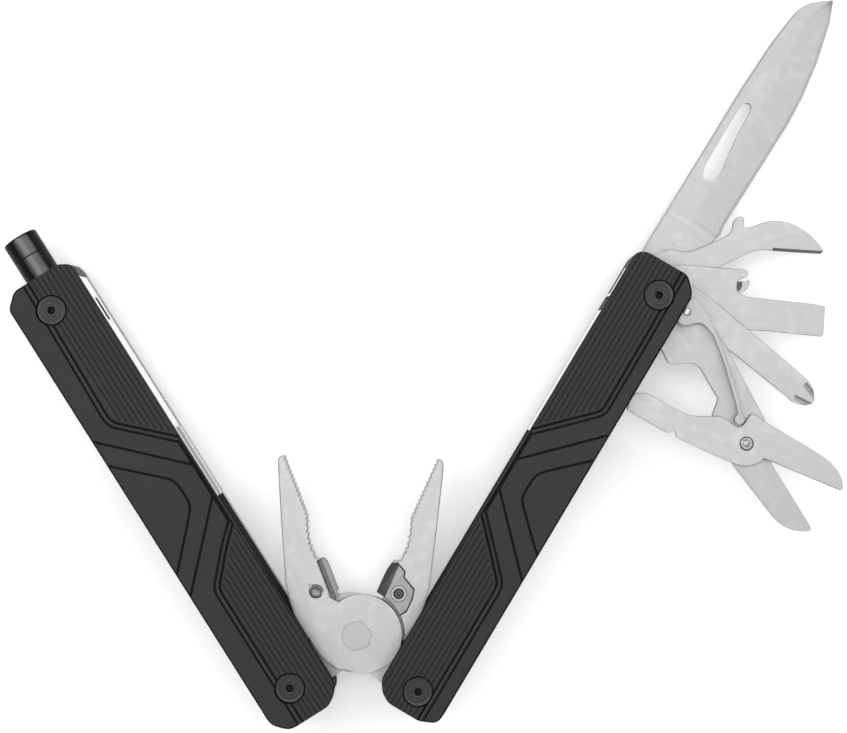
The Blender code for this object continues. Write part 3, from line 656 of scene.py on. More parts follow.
# All points are (along the handle, outwards).
# top, bottom: edges of the two ribbed grounds. lines, panel: engraved lines.
# ribs: first and last rib, outwards. pitch: between ribs.
HANDLES = {
    "left": dict(
        matrix=LEFT,
        outline=[
            (95.1, 7.3), (97.4, 4.9), (97.8, 4.0), (97.8, -6.0), (96.6, -8.0), (95.6, -8.2),
            (-3.9, -8.2), (-6.0, -6.8), (-7.3, -4.6), (-7.3, 3.3), (-7.0, 4.7), (-5.5, 6.2),
            (-4.5, 7.0), (-3.3, 7.3),
        ],
        top=[
            (99.0, 2.0), (88.0, 2.2), (66.6, 2.75), (65.2, 2.6), (63.8, 2.0), (54.4, -7.6),
            (52.0, -10.0),
        ],
        bottom=[
            (38.5, -11.0), (35.6, -8.1), (31.9, -4.0), (25.9, 1.5), (24.9, 2.1), (23.6, 2.3),
            (-9.0, 2.3),
        ],
        lines=[
            [(65.5, 9.0), (48.8, -7.6), (46.0, -10.5)],
            [(43.5, -10.0), (40.8, -7.2), (26.4, 7.1), (24.0, 9.5)],
        ],
        panel=[
            (60.0, 9.4), (57.1, 6.4), (50.2, -0.7), (48.3, -2.6), (45.9, -3.0), (42.8, -2.95),
            (41.3, -2.3), (31.6, 7.0), (29.0, 9.6),
        ],
        screws=[(0.0, 0.0), (90.5, 0.0)],
        ribs=(-7.25, 1.2),
        pitch=1.06,
    ),
    "right": dict(
        matrix=RIGHT,
        outline=[
            (98.1, 6.3), (96.8, 6.9), (-1.7, 6.9), (-3.0, 6.7), (-3.8, 6.1), (-4.8, 3.9),
            (-5.1, 3.0), (-5.1, -4.0), (-3.9, -6.1), (-1.8, -7.5), (98.2, -7.5), (99.7, -7.0),
            (100.4, -5.5), (100.5, 3.6), (99.9, 4.5),
        ],
        top=[
            (103.0, 3.35), (88.0, 3.7), (69.2, 3.85), (68.1, 3.8), (66.9, 3.2), (57.0, -6.6),
            (54.0, -9.6),
        ],
        bottom=[
            (41.0, -9.6), (37.7, -6.3), (31.1, 0.1), (28.1, 2.9), (27.2, 3.5), (25.8, 3.75),
            (-8.0, 3.75),
        ],
        lines=[
            [(67.0, 9.2), (64.0, 6.2), (50.9, -6.7), (48.0, -9.5)],
            [(46.5, -9.6), (43.3, -6.4), (30.8, 5.9), (27.5, 9.1)],
        ],
        panel=[
            (61.0, 9.1), (58.7, 6.8), (51.8, -0.4), (50.2, -1.8), (48.4, -2.1), (44.9, -2.1),
            (43.8, -1.5), (40.0, 2.4), (36.1, 6.6), (33.6, 9.1),
        ],
        screws=[(0.0, 0.0), (94.0, 0.9)],
        ribs=(-6.65, 2.5),
        pitch=1.04,
    ),
}
# Far corners that close each ribbed ground beyond the handle.
FIELD_BOXES = {"top": [(52.0, -30.0), (130.0, -30.0)], "bottom": [(-40.0, -30.0), (45.0, -30.0)]}
SCREW_BORE = [(0, 12.0), (3.15, 12.0), (3.15, 8.3), (1.45, 8.3), (1.45, 5.0), (0, 5.0)]


def crossings(path, level):
    """Where the path crosses a line along the handle."""
    hits = []
    for (x, y), (next_x, next_y) in zip(path, path[1:]):
        if (y - level) * (next_y - level) <= 0 and abs(y - next_y) > 0.05:
            hits.append(x + (next_x - x) * (level - y) / (next_y - y))
    return hits


def field_cutter(path, box):
    """The step down to the ribbed ground: its wall slopes from the path to the path moved in."""
    solid = bmesh.new()
    levels = ((offset(path, -STRIP) + box, FIELD), (path + box, TOP), (path + box, TOP + 1.0))
    rings = [ring_of(solid, at_height(points, height)) for points, height in levels]
    # The sloped wall takes the lighter strip look, a painted highlight.
    for first, second in zip(rings, rings[1:]):
        join(solid, first, second, SLOPE_HIGHLIGHT)
    for ring in (rings[0], rings[-1]):
        fill(solid, [[vert.co for vert in ring]], ring)
    return solid


def rib_cutter(handle, key, path):
    limit = offset(path, -STRIP - 0.55)
    level, last = handle["ribs"]
    ribs = []
    while level < last + 0.01:
        hits = crossings(limit, level)
        if hits:
            start, end = (min(hits) + 0.25, 112.0) if key == "top" else (max(hits) - 0.25, -16.0)
            rib = [(start, level), (end, level)]
            ribs.append(groove(rib, 0.38, FIELD - 0.13, FIELD, floor=0.15))
        level += handle["pitch"]
    return merged(ribs)


def scale_blank(outline, rear, materials):
    """A plain scale with its upper rim rounded over, and more so along the inner edge."""
    inner = min(y for _, y in outline)
    if rear:
        # The rear scale's inner edge is set in a little, behind the front one's.
        outline = [(x, y + 0.35 if y < inner + 0.9 else y) for x, y in outline]
    outline = soft(ccw(outline), sharp=55.0, corner=0.7, reach=0.8)
    inner = min(y for _, y in outline)
    share = [1.0 if y < inner + 0.8 else 0.55 for _, y in outline]
    rounding = ((0.0, 0.78), (0.12, 0.46), (0.38, 0.17), (0.80, 0.0))  # (inset, drop)
    rims = [([part * depth for part in share], TOP - drop) for depth, drop in rounding]
    # The rounded rim takes the darker rim look, painted shade.
    blank = slab(outline, SCALE_IN, TOP, rims=[(0.0, SCALE_IN)] + rims, rim_index=RIM_SHADE)
    return piece(blank, *materials)


def scale_piece(side, face, materials):
    handle = HANDLES[side]
    right, rear = side == "right", face == "rear"
    made = scale_blank(handle["outline"], rear, materials)
    # Each path is run so that the ribbed ground lies on its right.
    fields = []
    for key, box in FIELD_BOXES.items():
        path = smooth_path(handle[key])
        if double_area(path + box) > 0:
            path, box = path[::-1], box[::-1]
        fields.append((key, path, box))
    carve(made, [field_cutter(path, box) for _, path, box in fields], None)
    cutters = []
    for _, path, _ in fields:
        upper, lower = offset(path, 0.06), offset(path, -STRIP - 0.10)
        cutters.append(groove(upper, 0.52, TOP - 0.34, TOP, floor=0.14))
        cutters.append(groove(lower, 0.46, FIELD - 0.30, FIELD, floor=0.12))
    for path in handle["lines"] + [smooth_path(handle["panel"])]:
        cutters.append(groove(path, 0.50, TOP - 0.34, TOP, floor=0.14))
    # The engraved lines take the darker groove look and the ribs the darker rib look, both painted
    # shade in the recesses.
    carve(made, cutters, GROOVE_SHADE)
    carve(made, [rib_cutter(handle, key, path) for key, path, _ in fields], RIB_SHADE)
    # The screw counterbores also take the darker groove look, painted shade round the screw heads.
    bores = []
    for x, y in handle["screws"]:
        bore = lathe(SCREW_BORE, 72)
        bmesh.ops.translate(bore, vec=(x * MM, y * MM, 0), verts=bore.verts)
        bores.append(bore)
    carve(made, bores, GROOVE_SHADE)
    made.data.transform(Matrix.Diagonal((1, -1 if right else 1, -1 if rear else 1, 1)))
    if right != rear:
        made.data.flip_normals()
    fit(made, f"{side}_scale_{face}_machined", handle["matrix"], f"{side}_handle",
        f"{side}_scale_{face}", sharp=28.0)


# In the order of the material slots. The groove, rim and rib looks are darker than the face as painted
# shade in the engraved lines, ribs, counterbores and on the rounded rim; the strip look is lighter as
# painted highlight on the sloped wall.
SCALE_LOOKS = {
    "scale": {},
    "groove": dict(tone=0.0050, rough=0.62, wear=0.0, sheen=0.2),
    "rim": dict(tone=0.0032, rough=0.55, wear=0.05, sheen=0.08),
    "strip": dict(tone=0.0260, rough=0.48, wear=0.15),
    "rib": dict(tone=0.0145, rough=0.58, wear=0.0, sheen=0.28),
}
for side, deg in HANDLE_DEG.items():
    scale_materials = [
        black_scale(f"{side}_{part}_black_look", deg, **values)
        for part, values in SCALE_LOOKS.items()
    ]
    for face in ("front", "rear"):
        scale_piece(side, face, scale_materials)

# ------------------------------------------------------------------ screws ---
HEAD_RADIUS, HEAD_LOW, HEAD_HIGH = 2.95, 8.5, 9.45
SOCKET_FLOOR = 8.55
SHANK_RADIUS = 1.2


def screw_profile(low):
    """Socket, ringed head and shank, from the top of the axis to its foot at low."""
    points = [
        (0, SOCKET_FLOOR), (0.66, SOCKET_FLOOR), (0.74, 8.62),
        (0.74, HEAD_HIGH - 0.14), (0.86, HEAD_HIGH - 0.02),
    ]
    for k in range(5):
        start = 1.0 + 0.31 * k
        points += [
            (start, HEAD_HIGH), (start + 0.11, HEAD_HIGH),
            (start + 0.17, HEAD_HIGH - 0.06), (start + 0.25, HEAD_HIGH - 0.06),
        ]
    return points + [
        (2.62, HEAD_HIGH), (2.78, HEAD_HIGH), (2.90, HEAD_HIGH - 0.08),
        (HEAD_RADIUS, HEAD_HIGH - 0.2), (HEAD_RADIUS, HEAD_LOW),
        (SHANK_RADIUS, HEAD_LOW), (SHANK_RADIUS, low), (0, low),
    ]


def screw_piece(side, kind, face, x, y):
    node = f"{side}_{kind}_screw_{face}"
    matrix = HANDLES[side]["matrix"]
    # The left top screws have longer shanks.
    solid = lathe(screw_profile(5.45 if (side, kind) == ("left", "top") else 6.7), 56)
    if face == "rear":
        bmesh.ops.transform(solid, matrix=Matrix.Scale(-1, 4, (0, 0, 1)), verts=solid.verts)
    at = (x * MM, y * MM, 0)
    bmesh.ops.translate(solid, vec=at, verts=solid.verts)
    middle = matrix @ Vector(at)
    look = screw_look(f"{node}_look", (middle.x, middle.y, 0))
    fit(piece(solid, look), f"{node}_turned", matrix, f"{side}_handle", node,
        sharp=30.0)


for side, outwards in (("left", 1), ("right", -1)):
    for kind, (x, y) in zip(("pivot", "top"), HANDLES[side]["screws"]):
        for face in ("front", "rear"):
            screw_piece(side, kind, face, x, outwards * y)

# ------------------------------------------------------------------- torch ---
TIP, TAIL = 107.7, 67.7  # along the left handle
TORCH_OUT = -1.15  # outwards from the handle's axis
BARREL_RADIUS, BARREL_BORE = 3.7, 3.1
TORCH = (
    LEFT @ Matrix.Translation((0, TORCH_OUT * MM, 0)) @ Matrix.Rotation(math.pi / 2, 4, "Y")
)
torch_black = anodised("torch_black_look")


def torch_piece(name, profile, count, look, replaced, close=False):
    fit(piece(lathe(profile, count, close), look), name, TORCH, "torch", replaced)


def from_tip(points):
    """(radius, distance back from the tip) points as a lathe profile."""
    return [(radius, TIP - back) for radius, back in points]


barrel = [
    (BARREL_RADIUS, height)
    for height in [TAIL + 2.6, TAIL + 2.8] + [TAIL + 3.5 + 1.6 * k for k in range(20)]
]
barrel += from_tip([
    (BARREL_RADIUS, 4.72), (BARREL_RADIUS, 4.62), (3.66, 4.56), (BARREL_BORE, 4.56),
])
barrel.append((BARREL_BORE, TAIL + 2.6))
torch_piece("torch_barrel_turned", barrel, 96, torch_black, "torch_barrel", True)
bezel = from_tip([
    (3.62, 4.5), (3.7, 4.42), (3.71, 4.2), (3.715, 3.2), (3.72, 2.0), (3.72, 1.0), (3.72, 0.5),
    (3.69, 0.22), (3.58, 0.05), (3.45, 0), (3.15, 0), (3.0, 0.12), (3.0, 0.5), (2.9, 1.3),
    (2.4, 2.2), (1.6, 3.0), (0.95, 3.5), (0.9, 4.5),
])
torch_piece("torch_bezel_turned", bezel, 96, torch_black, "torch_bezel", True)
lens = from_tip([
    (0, 1.25), (2.4, 1.25), (2.78, 1.2), (2.8, 0.8), (2.5, 0.7), (1.8, 0.6), (1.0, 0.53), (0, 0.5),
])
lens_look = clear_lens("torch_lens_look")
torch_piece("torch_lens_domed", lens, 56, lens_look, "torch_lens")
led = from_tip([
    (0, 3.3), (0.85, 3.3), (0.85, 2.9), (0.8, 2.5), (0.6, 2.15), (0.3, 1.95), (0, 1.9),
])
torch_piece("torch_led_dome", led, 32, phosphor("torch_led_look"), "torch_led")

# ------------------------------------------------------------ fold-out tools -
# Local x runs from the fold joint towards the tip. Outlines are (x, y).
KNIFE = place("knife_fold", KNIFE_DEG)
HOOK = place("hook_fold", HOOK_DEG)
OPENER = place("opener_fold", OPENER_DEG)
DRIVER = place("driver_fold", DRIVER_DEG)
SHEARS = place("scissors_fold", SHEARS_DEG)
LEVER = place("scissors_squeeze", LEVER_DEG)
TANG_RADIUS = 5.0
TANG_BACK = arc(TANG_RADIUS, 252.0, 132.0, 25)
BORE = round_at(0, 0, 2.0)

# The knife: a drop-point blade, ground from the middle to the edge, with a fine bevel on the
# edge itself. The spine is on the +y side and the belly on the -y side.
SPINE = [
    (-4.2, 2.7), (-2.6, 4.3), (0.5, 5.3), (7.9, 6.9), (47.4, 6.9), (58.0, 6.5), (65.4, 5.75),
    (67.6, 5.2), (69.4, 4.0), (71.9, 1.1), (72.4, 0.1),
]
BELLY = [
    (-4.2, -2.7), (-2.6, -4.3), (-1.0, -4.85), (2.0, -4.75), (8.0, -4.6), (16.2, -4.7),
    (17.4, -5.0), (18.4, -5.3), (20.8, -4.95), (31.8, -5.1), (45.6, -5.3), (51.9, -4.9),
    (59.4, -3.8), (67.9, -1.7), (72.4, 0.1),
]
BLADE_LOW, BLADE_HIGH = -4.9, -2.9
TANG_END = -2.6  # behind this x the tang is round
ROWS = 46  # from the edge to the back


def along_curve(points, stations):
    """Heights of a gently smoothed line at each station."""
    xs, ys = zip(*points)
    base = np.interp(stations, xs, ys)
    nearby = base + np.interp(stations - 0.35, xs, ys)
    return (nearby + np.interp(stations + 0.35, xs, ys)) / 3


def smooth_step(part):
    part = min(1.0, max(0.0, part))
    return part * part * (3 - 2 * part)


def half_thickness(x, y, edge, back):
    """Half the blade's thickness at a point, between its edge and back there."""
    from_edge, from_back = y - edge, back - y
    # A curved plunge line, running back from the edge towards the middle of the blade.
    start = 16.9 + 0.035 * (y + 4.8) ** 2 if y > -4.8 else 16.9
    ground = float(smooth_step((x - start) / 0.9))
    width = max(0.4, min(6.6, (back - edge) * 0.62))
    grind = 0.36 * max(0.0, 1 - from_edge / width) * ground
    fine = max(0.0, 1 - from_edge / 0.62) * 0.07 * ground
    rim = max(0.0, 1 - from_back / 0.16) * 0.12
    rim += max(0.0, 1 - from_edge / 0.14) * 0.12 * (1 - ground)
    return max(0.03, (BLADE_HIGH - BLADE_LOW) / 2 - grind - fine - rim)


def around(sheet):
    """The border of a sheet of vertices."""
    return (
        [column[0] for column in sheet] + sheet[-1][1:]
        + [column[-1] for column in sheet[-2::-1]] + sheet[0][-2:0:-1]
    )


def knife_mesh():
    stations = np.concatenate([
        np.linspace(-5.0, -4.0, 8), np.linspace(-3.7, 15, 36), np.linspace(15.3, 21.0, 34),
        np.linspace(21.6, 64.0, 90), np.linspace(64.4, 72.0, 34), [72.2, 72.32, 72.4],
    ])
    tang = np.sqrt(np.maximum(0, TANG_RADIUS**2 - stations**2))
    back = np.where(stations < TANG_END, tang, along_curve(SPINE, stations))
    edge = np.where(stations < TANG_END, -tang, along_curve(BELLY, stations))
    back[-1], edge[-1] = 0.12, 0.08
    # Rows gather at the cutting edge, where the fine bevel is.
    shares = np.concatenate([np.linspace(0, 0.06, 7), np.linspace(0.08, 1, ROWS - 7)])
    middle = (BLADE_LOW + BLADE_HIGH) / 2
    solid = bmesh.new()
    sheets = []
    for sign in (1, -1):
        sheet = []
        for i, x in enumerate(stations):
            ys = [edge[i] + (back[i] - edge[i]) * share for share in shares]
            sheet.append(ring_of(solid, [
                (x, y, middle + sign * half_thickness(x, y, edge[i], back[i])) for y in ys
            ]))
        for here, then in zip(sheet, sheet[1:]):
            for j in range(ROWS - 1):
                solid.faces.new((here[j], then[j], then[j + 1], here[j + 1]))
        sheets.append(sheet)
    join(solid, around(sheets[0]), around(sheets[1]))
    bmesh.ops.remove_doubles(solid, verts=solid.verts, dist=2e-6)
    return solid


BLADE_SLOT = [
    (44.9, 4.35), (45.0, 3.4), (44.0, 2.75), (37.8, 2.45), (29.0, 1.25), (27.4, 1.6),
    (26.4, 3.2), (26.9, 4.3), (29.1, 4.95), (40.3, 5.15), (44.0, 4.95),
]
knife_steel = steel(
    "knife_blade_steel", KNIFE_DEG + 90, grey(0.405, blue=0.411), rough=0.48, lines=0.35, blast=0.25
)
knife = piece(knife_mesh(), knife_steel)
carve(knife, [plug(soft(ccw(BLADE_SLOT), corner=0.6), -6.0, -1.8), plug(BORE, -6.0, -1.8)])
fit(knife, "knife_blade_ground", KNIFE, "knife", "knife_blade", sharp=16.0)

# The hook; its ground edge takes a dark steel as painted shade on the bevel.
HOOK_LINE = TANG_BACK + [
    (-0.8, 6.4), (1.8, 8.3), (3.5, 8.6), (6.3, 8.8), (9.1, 7.0), (14.9, 7.7), (18.5, 8.4),
    (19.4, 9.2), (20.2, 10.9), (21.2, 11.5), (22.1, 11.4), (22.5, 10.8), (22.0, 9.5),
    (22.2, 8.9), (23.1, 8.75), (26.4, 9.05), (28.6, 8.75), (30.5, 8.05), (32.3, 6.85),
    (33.9, 5.2), (35.2, 3.5), (36.1, 1.7), (36.6, 0.1), (36.1, -0.4), (27.9, 2.35),
    (23.7, 3.9), (20.6, 3.6), (16.1, 2.7), (13.0, 2.0), (9.0, 0.8), (5.0, -2.5), (2.3, -4.5),
]
hook = piece(
    slab(soft(HOOK_LINE, corner=0.25), -2.7, -1.5, holes=[BORE]),
    steel("hook_steel", HOOK_DEG, grey(0.43)),
    steel("hook_edge_shade_steel", HOOK_DEG, grey(0.15), rough=0.42),
)
carve(hook, [groove([(26.4, 2.93), (27.6, 2.47), (40.0, -1.70)], 1.2, -2.3, -1.5)], 1)
fit(hook, "hook_tool_ground", HOOK, "hook", "hook_tool", sharp=32.0)

# The bottle opener: a plate and a claw, with a dark sheet at the claw's root in the bite as painted
# shade.
OPENER_LINE = TANG_BACK + [
    (-0.5, 5.8), (4.7, 7.3), (13.8, 7.4), (17.8, 7.6), (18.75, 7.3), (18.95, 6.6),
    (18.6, 6.05), (17.7, 5.7), (16.95, 5.1), (16.8, 4.2), (17.0, 3.0), (17.6, 2.45),
    (18.4, 2.2), (19.4, 1.95), (33.7, 1.95), (35.45, 1.75), (35.7, -4.2), (35.3, -4.6),
    (24.0, -4.6), (20.5, -4.8), (12.0, -4.8), (2.0, -4.7),
]
CLAW = [
    (17.1, 2.6), (18.0, 2.75), (18.9, 3.5), (19.35, 4.4), (19.45, 5.3), (19.15, 5.5),
    (18.6, 5.0), (18.1, 5.15), (17.75, 5.0), (17.85, 4.0), (17.5, 3.2), (17.0, 3.0),
]
CLAW_ROOT = [(16.7, 2.9), (17.95, 3.0), (17.95, 5.1), (16.8, 5.0)]
opener_steel = steel("opener_steel", OPENER_DEG, grey(0.425))
claw_shade_steel = steel("claw_root_painted_shade_steel", OPENER_DEG, grey(0.10))
plate = slab(soft(OPENER_LINE, corner=0.3), -1.3, -0.1, holes=[BORE])
fit(piece(plate, opener_steel), "bottle_opener_plate", OPENER, "opener",
    "bottle_opener", sharp=32.0)
claw = slab(soft(ccw(CLAW)), -1.25, -0.3, rim=0.1)
fit(piece(claw, opener_steel), "bottle_opener_claw", OPENER, "opener")
# A dark sheet under the claw, set in the bite as painted shade.
claw_shade_sheet = slab(soft(ccw(CLAW_ROOT), corner=0.3), -1.22, -0.85, rim=0.05)
fit(piece(claw_shade_sheet, claw_shade_steel), "bottle_opener_claw_shade_sheet", OPENER, "opener")

# The cross-head driver, with two flutes at its tip.
DRIVER_LINE = TANG_BACK + [
    (-0.5, 5.6), (6.6, 7.1), (19.6, 6.8), (35.4, 6.55), (37.2, 5.9), (38.4, 5.0),
    (39.15, 4.1), (39.15, 3.1), (38.4, 2.1), (37.0, 1.3), (35.4, 0.95), (34.5, 1.1),
    (18.3, 1.1), (12.0, 0.2), (7.0, -2.0), (2.3, -4.5),
]
FLUTES = ([(35.4, 5.5), (41.5, 4.0)], [(35.4, 2.0), (41.5, 3.3)])
driver = piece(
    slab(soft(DRIVER_LINE, corner=0.3), 0.1, 1.3, holes=[BORE]),
    steel("driver_steel", DRIVER_DEG, grey(0.435)),
    steel("driver_tip_steel", DRIVER_DEG, grey(0.40), rough=0.46),
)
carve(driver, [groove(path, 1.1, 0.95, 1.3, floor=0.1) for path in FLUTES], 1)
fit(driver, "phillips_driver_ground", DRIVER, "driver", "phillips_driver",
    sharp=32.0)

# The scissors: frame, lever, leaf spring, and a rivet with a dark ring round it.
RIVET_AT, RIVET_HOLE = (35.5, 0.3), 1.3
SPRING_HOLE = round_at(6.0, 3.6, 0.9, 24)
SHEARS_LINE = TANG_BACK + [
    (-0.5, 5.5), (6.0, 6.9), (16.7, 7.2), (24.2, 6.7), (29.4, 6.5), (34.6, 6.2), (38.0, 4.2),
    (41.0, 2.7), (57.1, 2.95), (57.75, 2.6), (57.4, 1.5), (55.9, -0.6), (54.0, -1.9),
    (51.8, -2.6), (37.3, -4.3), (32.0, -4.6), (27.6, -3.4), (25.4, -0.7), (24.8, 0.1),
    (17.3, 0.3), (15.9, -0.3), (14.0, -3.9), (13.1, -4.9), (10.4, -4.6), (2.3, -4.6),
]
shears_holes = [BORE, round_at(*RIVET_AT, RIVET_HOLE), SPRING_HOLE]
shears = slab(soft(SHEARS_LINE, corner=0.3), 1.5, 2.7, holes=shears_holes)
fit(piece(shears, steel("scissors_frame_steel", SHEARS_DEG, grey(0.42))),
    "scissors_frame_plate", SHEARS, "scissors", "scissors_frame")
LEVER_LINE = [
    (-25.7, 0.8), (-24.8, 2.1), (-22.9, 2.75), (-20.0, 2.45), (-16.5, 1.75), (-13.6, 1.45),
    (-11.5, 1.8), (-8.8, 2.75), (-7.3, 3.45), (-5.6, 3.35), (-4.2, 2.85), (-3.1, 2.55),
    (-2.3, 2.9), (-1.75, 3.9), (-1.6, 4.9), (-1.2, 6.0), (-0.4, 6.15), (3.1, 5.3),
    (13.3, 3.45), (17.2, 2.5), (19.7, 1.15), (21.2, -0.6), (21.8, -1.9), (21.3, -2.45),
    (6.5, -1.7), (4.6, -1.75), (3.6, -3.0), (1.6, -4.5), (-1.7, -4.75), (-7.0, -4.35),
    (-13.4, -3.8), (-14.1, -3.5), (-14.6, -2.6), (-15.1, -2.6), (-15.6, -3.4), (-16.3, -3.5),
    (-25.4, -1.9),
]
lever = piece(
    slab(soft(ccw(LEVER_LINE), corner=0.3), 2.9, 4.1, holes=[round_at(0, 0, RIVET_HOLE)]),
    steel("scissors_lever_steel", LEVER_DEG, grey(0.445)),
    steel("scissors_edge_steel", LEVER_DEG, grey(0.22), rough=0.42),
)
carve(lever, [groove([(4.2, -2.05), (6.4, -2.0), (25.0, -2.86)], 0.85, 3.2, 4.1)], 1)
fit(lever, "scissors_lever_plate", LEVER, "scissors_arm", "scissors_lever",
    sharp=32.0)
# The leaf spring: a strip from its eye to a round toe that rests in the lever's notch.
SPRING_PATH = [(9.8, 6.35), (13.0, 6.2), (18.2, 5.35), (27.0, 3.05), (30.2, 1.9)]
SPRING_HALF_WIDTH = 0.40
SPRING_ROOT = [
    (4.6, 1.9), (6.0, 0.95), (7.7, 1.2), (8.5, 2.6), (8.9, 4.2), (9.8, 5.3), (12.4, 5.75),
    (12.5, 6.65), (8.0, 6.95), (4.6, 6.6), (4.0, 5.0), (4.3, 3.4),
]
spring_line = smooth_path(SPRING_PATH, steps=8, reach=3.0)
strip = offset(spring_line, SPRING_HALF_WIDTH) + offset(spring_line, -SPRING_HALF_WIDTH)[::-1]
spring = piece(
    slab(strip, 4.35, 4.9, rim=0.08),
    steel("scissors_spring_steel", -72.0, grey(0.40), lines=0.5, blast=0.2),
)
root = slab(soft(ccw(SPRING_ROOT), sharp=60.0), 4.33, 4.9, rim=0.06)
toe = slab(round_at(30.4, 1.55, 1.05), 4.33, 4.9, rim=0.10)
carve(spring, [root, toe], operation="UNION")
carve(spring, [plug(SPRING_HOLE, 3.0, 6.0)])
fit(spring, "scissors_spring_leaf", SHEARS, "scissors", "scissors_spring",
    sharp=32.0)
RIVET = [
    (0, 1.45), (1.1, 1.45), (1.1, 4.12), (1.22, 4.12), (1.22, 4.2), (1.12, 4.26),
    (0.86, 4.28), (0.72, 4.2), (0.5, 4.3), (0, 4.33),
]
RIVET_RING = [(1.2, 4.0), (1.2, 4.13), (1.48, 4.13), (1.48, 4.0)]
rivet_matrix = SHEARS @ Matrix.Translation((RIVET_AT[0] * MM, RIVET_AT[1] * MM, 0))
rivet_steel = steel("scissors_rivet_steel", 0.0, grey(0.34), rough=0.36)
fit(piece(lathe(RIVET, 40), rivet_steel), "scissors_rivet_peened", rivet_matrix, "scissors",
    "scissors_rivet")
ring_steel = steel("scissors_ring_steel", 0.0, grey(0.09))
fit(piece(lathe(RIVET_RING, 40, True), ring_steel), "scissors_rivet_ring", rivet_matrix,
    "scissors")

# -------------------------------------------------------- pliers' small pieces
# Local y runs along each jaw.
LEFT_JAW = place("pliers_pivot", LEFT_JAW_DEG)
RIGHT_JAW = place("pliers_pivot", RIGHT_JAW_DEG)
PIN_X, PIN_Y = 4.4, 11.55  # mirrored in x on the left jaw

# The right cutter, bevelled towards the bite.
RIGHT_INSERT = arc(9.86, 89.4, 50.0, 14) + [
    (7.3, 8.8), (7.4, 11.6), (6.9, 13.6), (4.0, 15.0), (3.67, 16.2), (1.7, 17.1),
    (0.5, 16.7), (0.12, 14.8),
]
grain_deg = JAW_GRAIN_DEG["right"]
right_edge = steel(
    "cutter_edge_steel", grain_deg, grey(0.085, blue=0.087), rough=0.44, lines=0.6
)
right_insert = piece(
    slab(soft(ccw(RIGHT_INSERT), corner=0.3), 0.05, 2.7, 0.15, [round_at(PIN_X, PIN_Y, 1.1)]),
    steel("cutter_right_steel", grain_deg, grey(0.26, blue=0.262), rough=0.46),
    right_edge,
)
carve(right_insert, [wedge([(-1.0, 0.95), (2.15, 2.71), (2.15, 4.0), (-1.0, 4.0)], 8.0, 19.0)], 1)
fit(right_insert, "cutter_insert_right_ground", RIGHT_JAW, "right_lever",
    "cutter_insert_right", sharp=32.0)
# Its screw and washer.
WASHER = [(0.95, 2.72), (1.0, 2.92), (1.1, 3.0), (1.55, 3.0), (1.66, 2.9), (1.7, 2.72)]
CUTTER_SCREW = [
    (0, 2.85), (0.30, 2.85), (0.36, 3.2), (0.44, 3.33), (0.78, 3.33), (0.92, 3.2),
    (0.95, 2.75), (0.9, 2.7), (0.9, -2.5), (0, -2.5),
]
screw_at = RIGHT_JAW @ Matrix.Translation((PIN_X * MM, PIN_Y * MM, 0))
washer_steel = steel("cutter_washer_steel", 0.0, grey(0.30), rough=0.42)
fit(piece(lathe(WASHER, 40, True), washer_steel), "cutter_screw_washer", screw_at,
    "right_lever")
screw_steel = steel("cutter_screw_steel", 0.0, grey(0.075, blue=0.077), rough=0.36)
fit(piece(lathe(CUTTER_SCREW, 36), screw_steel), "cutter_screw_head", screw_at,
    "right_lever", "cutter_screw_right")

# The left cutter, with a foot at its pivot end and a bright bevel.
LEFT_INSERT = [
    (-0.17, 9.95), (-0.17, 16.2), (-0.5, 17.1), (-0.9, 17.35), (-1.7, 17.3), (-1.9, 16.8),
    (-1.9, 9.9), (-0.9, 9.9),
]
FOOT = [(-0.45, 8.75), (-0.3, 10.4), (-1.9, 10.4), (-1.9, 8.55)]
grain_deg = JAW_GRAIN_DEG["left"]
left_insert = piece(
    slab(soft(ccw(LEFT_INSERT)), -2.2, 2.3),
    steel("cutter_left_steel", grain_deg, grey(0.105, blue=0.107), rough=0.45),
    steel("cutter_left_bevel_steel", grain_deg, grey(0.50), rough=0.46),
)
carve(left_insert, [slab(FOOT, 0.25, 2.28, rim=0.05)], operation="UNION")
carve(left_insert, [wedge([(0.6, 1.15), (-0.95, 2.31), (-0.95, 4.0), (0.6, 4.0)], 6.0, 19.0)], 1)
fit(left_insert, "cutter_insert_left_ground", LEFT_JAW, "left_lever",
    "cutter_insert_left", sharp=32.0)
LEFT_PIN = [
    (0, 2.5), (0.7, 2.5), (0.95, 2.56), (1.05, 2.46), (1.18, 2.42), (1.3, 2.42), (1.3, -2.4),
    (1.2, -2.5), (0, -2.5),
]
pin_at = LEFT_JAW @ Matrix.Translation((-PIN_X * MM, PIN_Y * MM, 0))
pin_steel = steel("cutter_pin_steel", 0.0, grey(0.15), rough=0.36)
fit(piece(lathe(LEFT_PIN, 40), pin_steel), "cutter_pin_left_turned", pin_at, "left_lever",
    "cutter_pin_left")

# The pliers' pivot rivet: a turned shank with a rounded hexagon on top.
PIVOT = [
    (0, 2.6), (2.0, 2.6), (2.0, -2.7), (3.2, -2.7), (3.3, -2.8), (3.3, -3.2), (3.1, -3.3), (0, -3.3),
]
HEX_RADIUS, HEX_DEG = 3.35, 13
pivot = piece(
    lathe(PIVOT, 56), steel("plier_rivet_steel", 20.0, grey(0.37), rough=0.46)
)
hex_angles = [math.radians(HEX_DEG - LEFT_JAW_DEG + 60 * k) for k in range(6)]
hexagon = [(HEX_RADIUS * math.cos(angle), HEX_RADIUS * math.sin(angle)) for angle in hex_angles]
hexagon = soft(hexagon, sharp=20, corner=0.9)
carve(pivot, [slab(hexagon, 2.45, 2.78, rim=0.05)], operation="UNION")
fit(pivot, "plier_rivet_flush", LEFT_JAW, "left_lever", "plier_rivet", sharp=32.0)

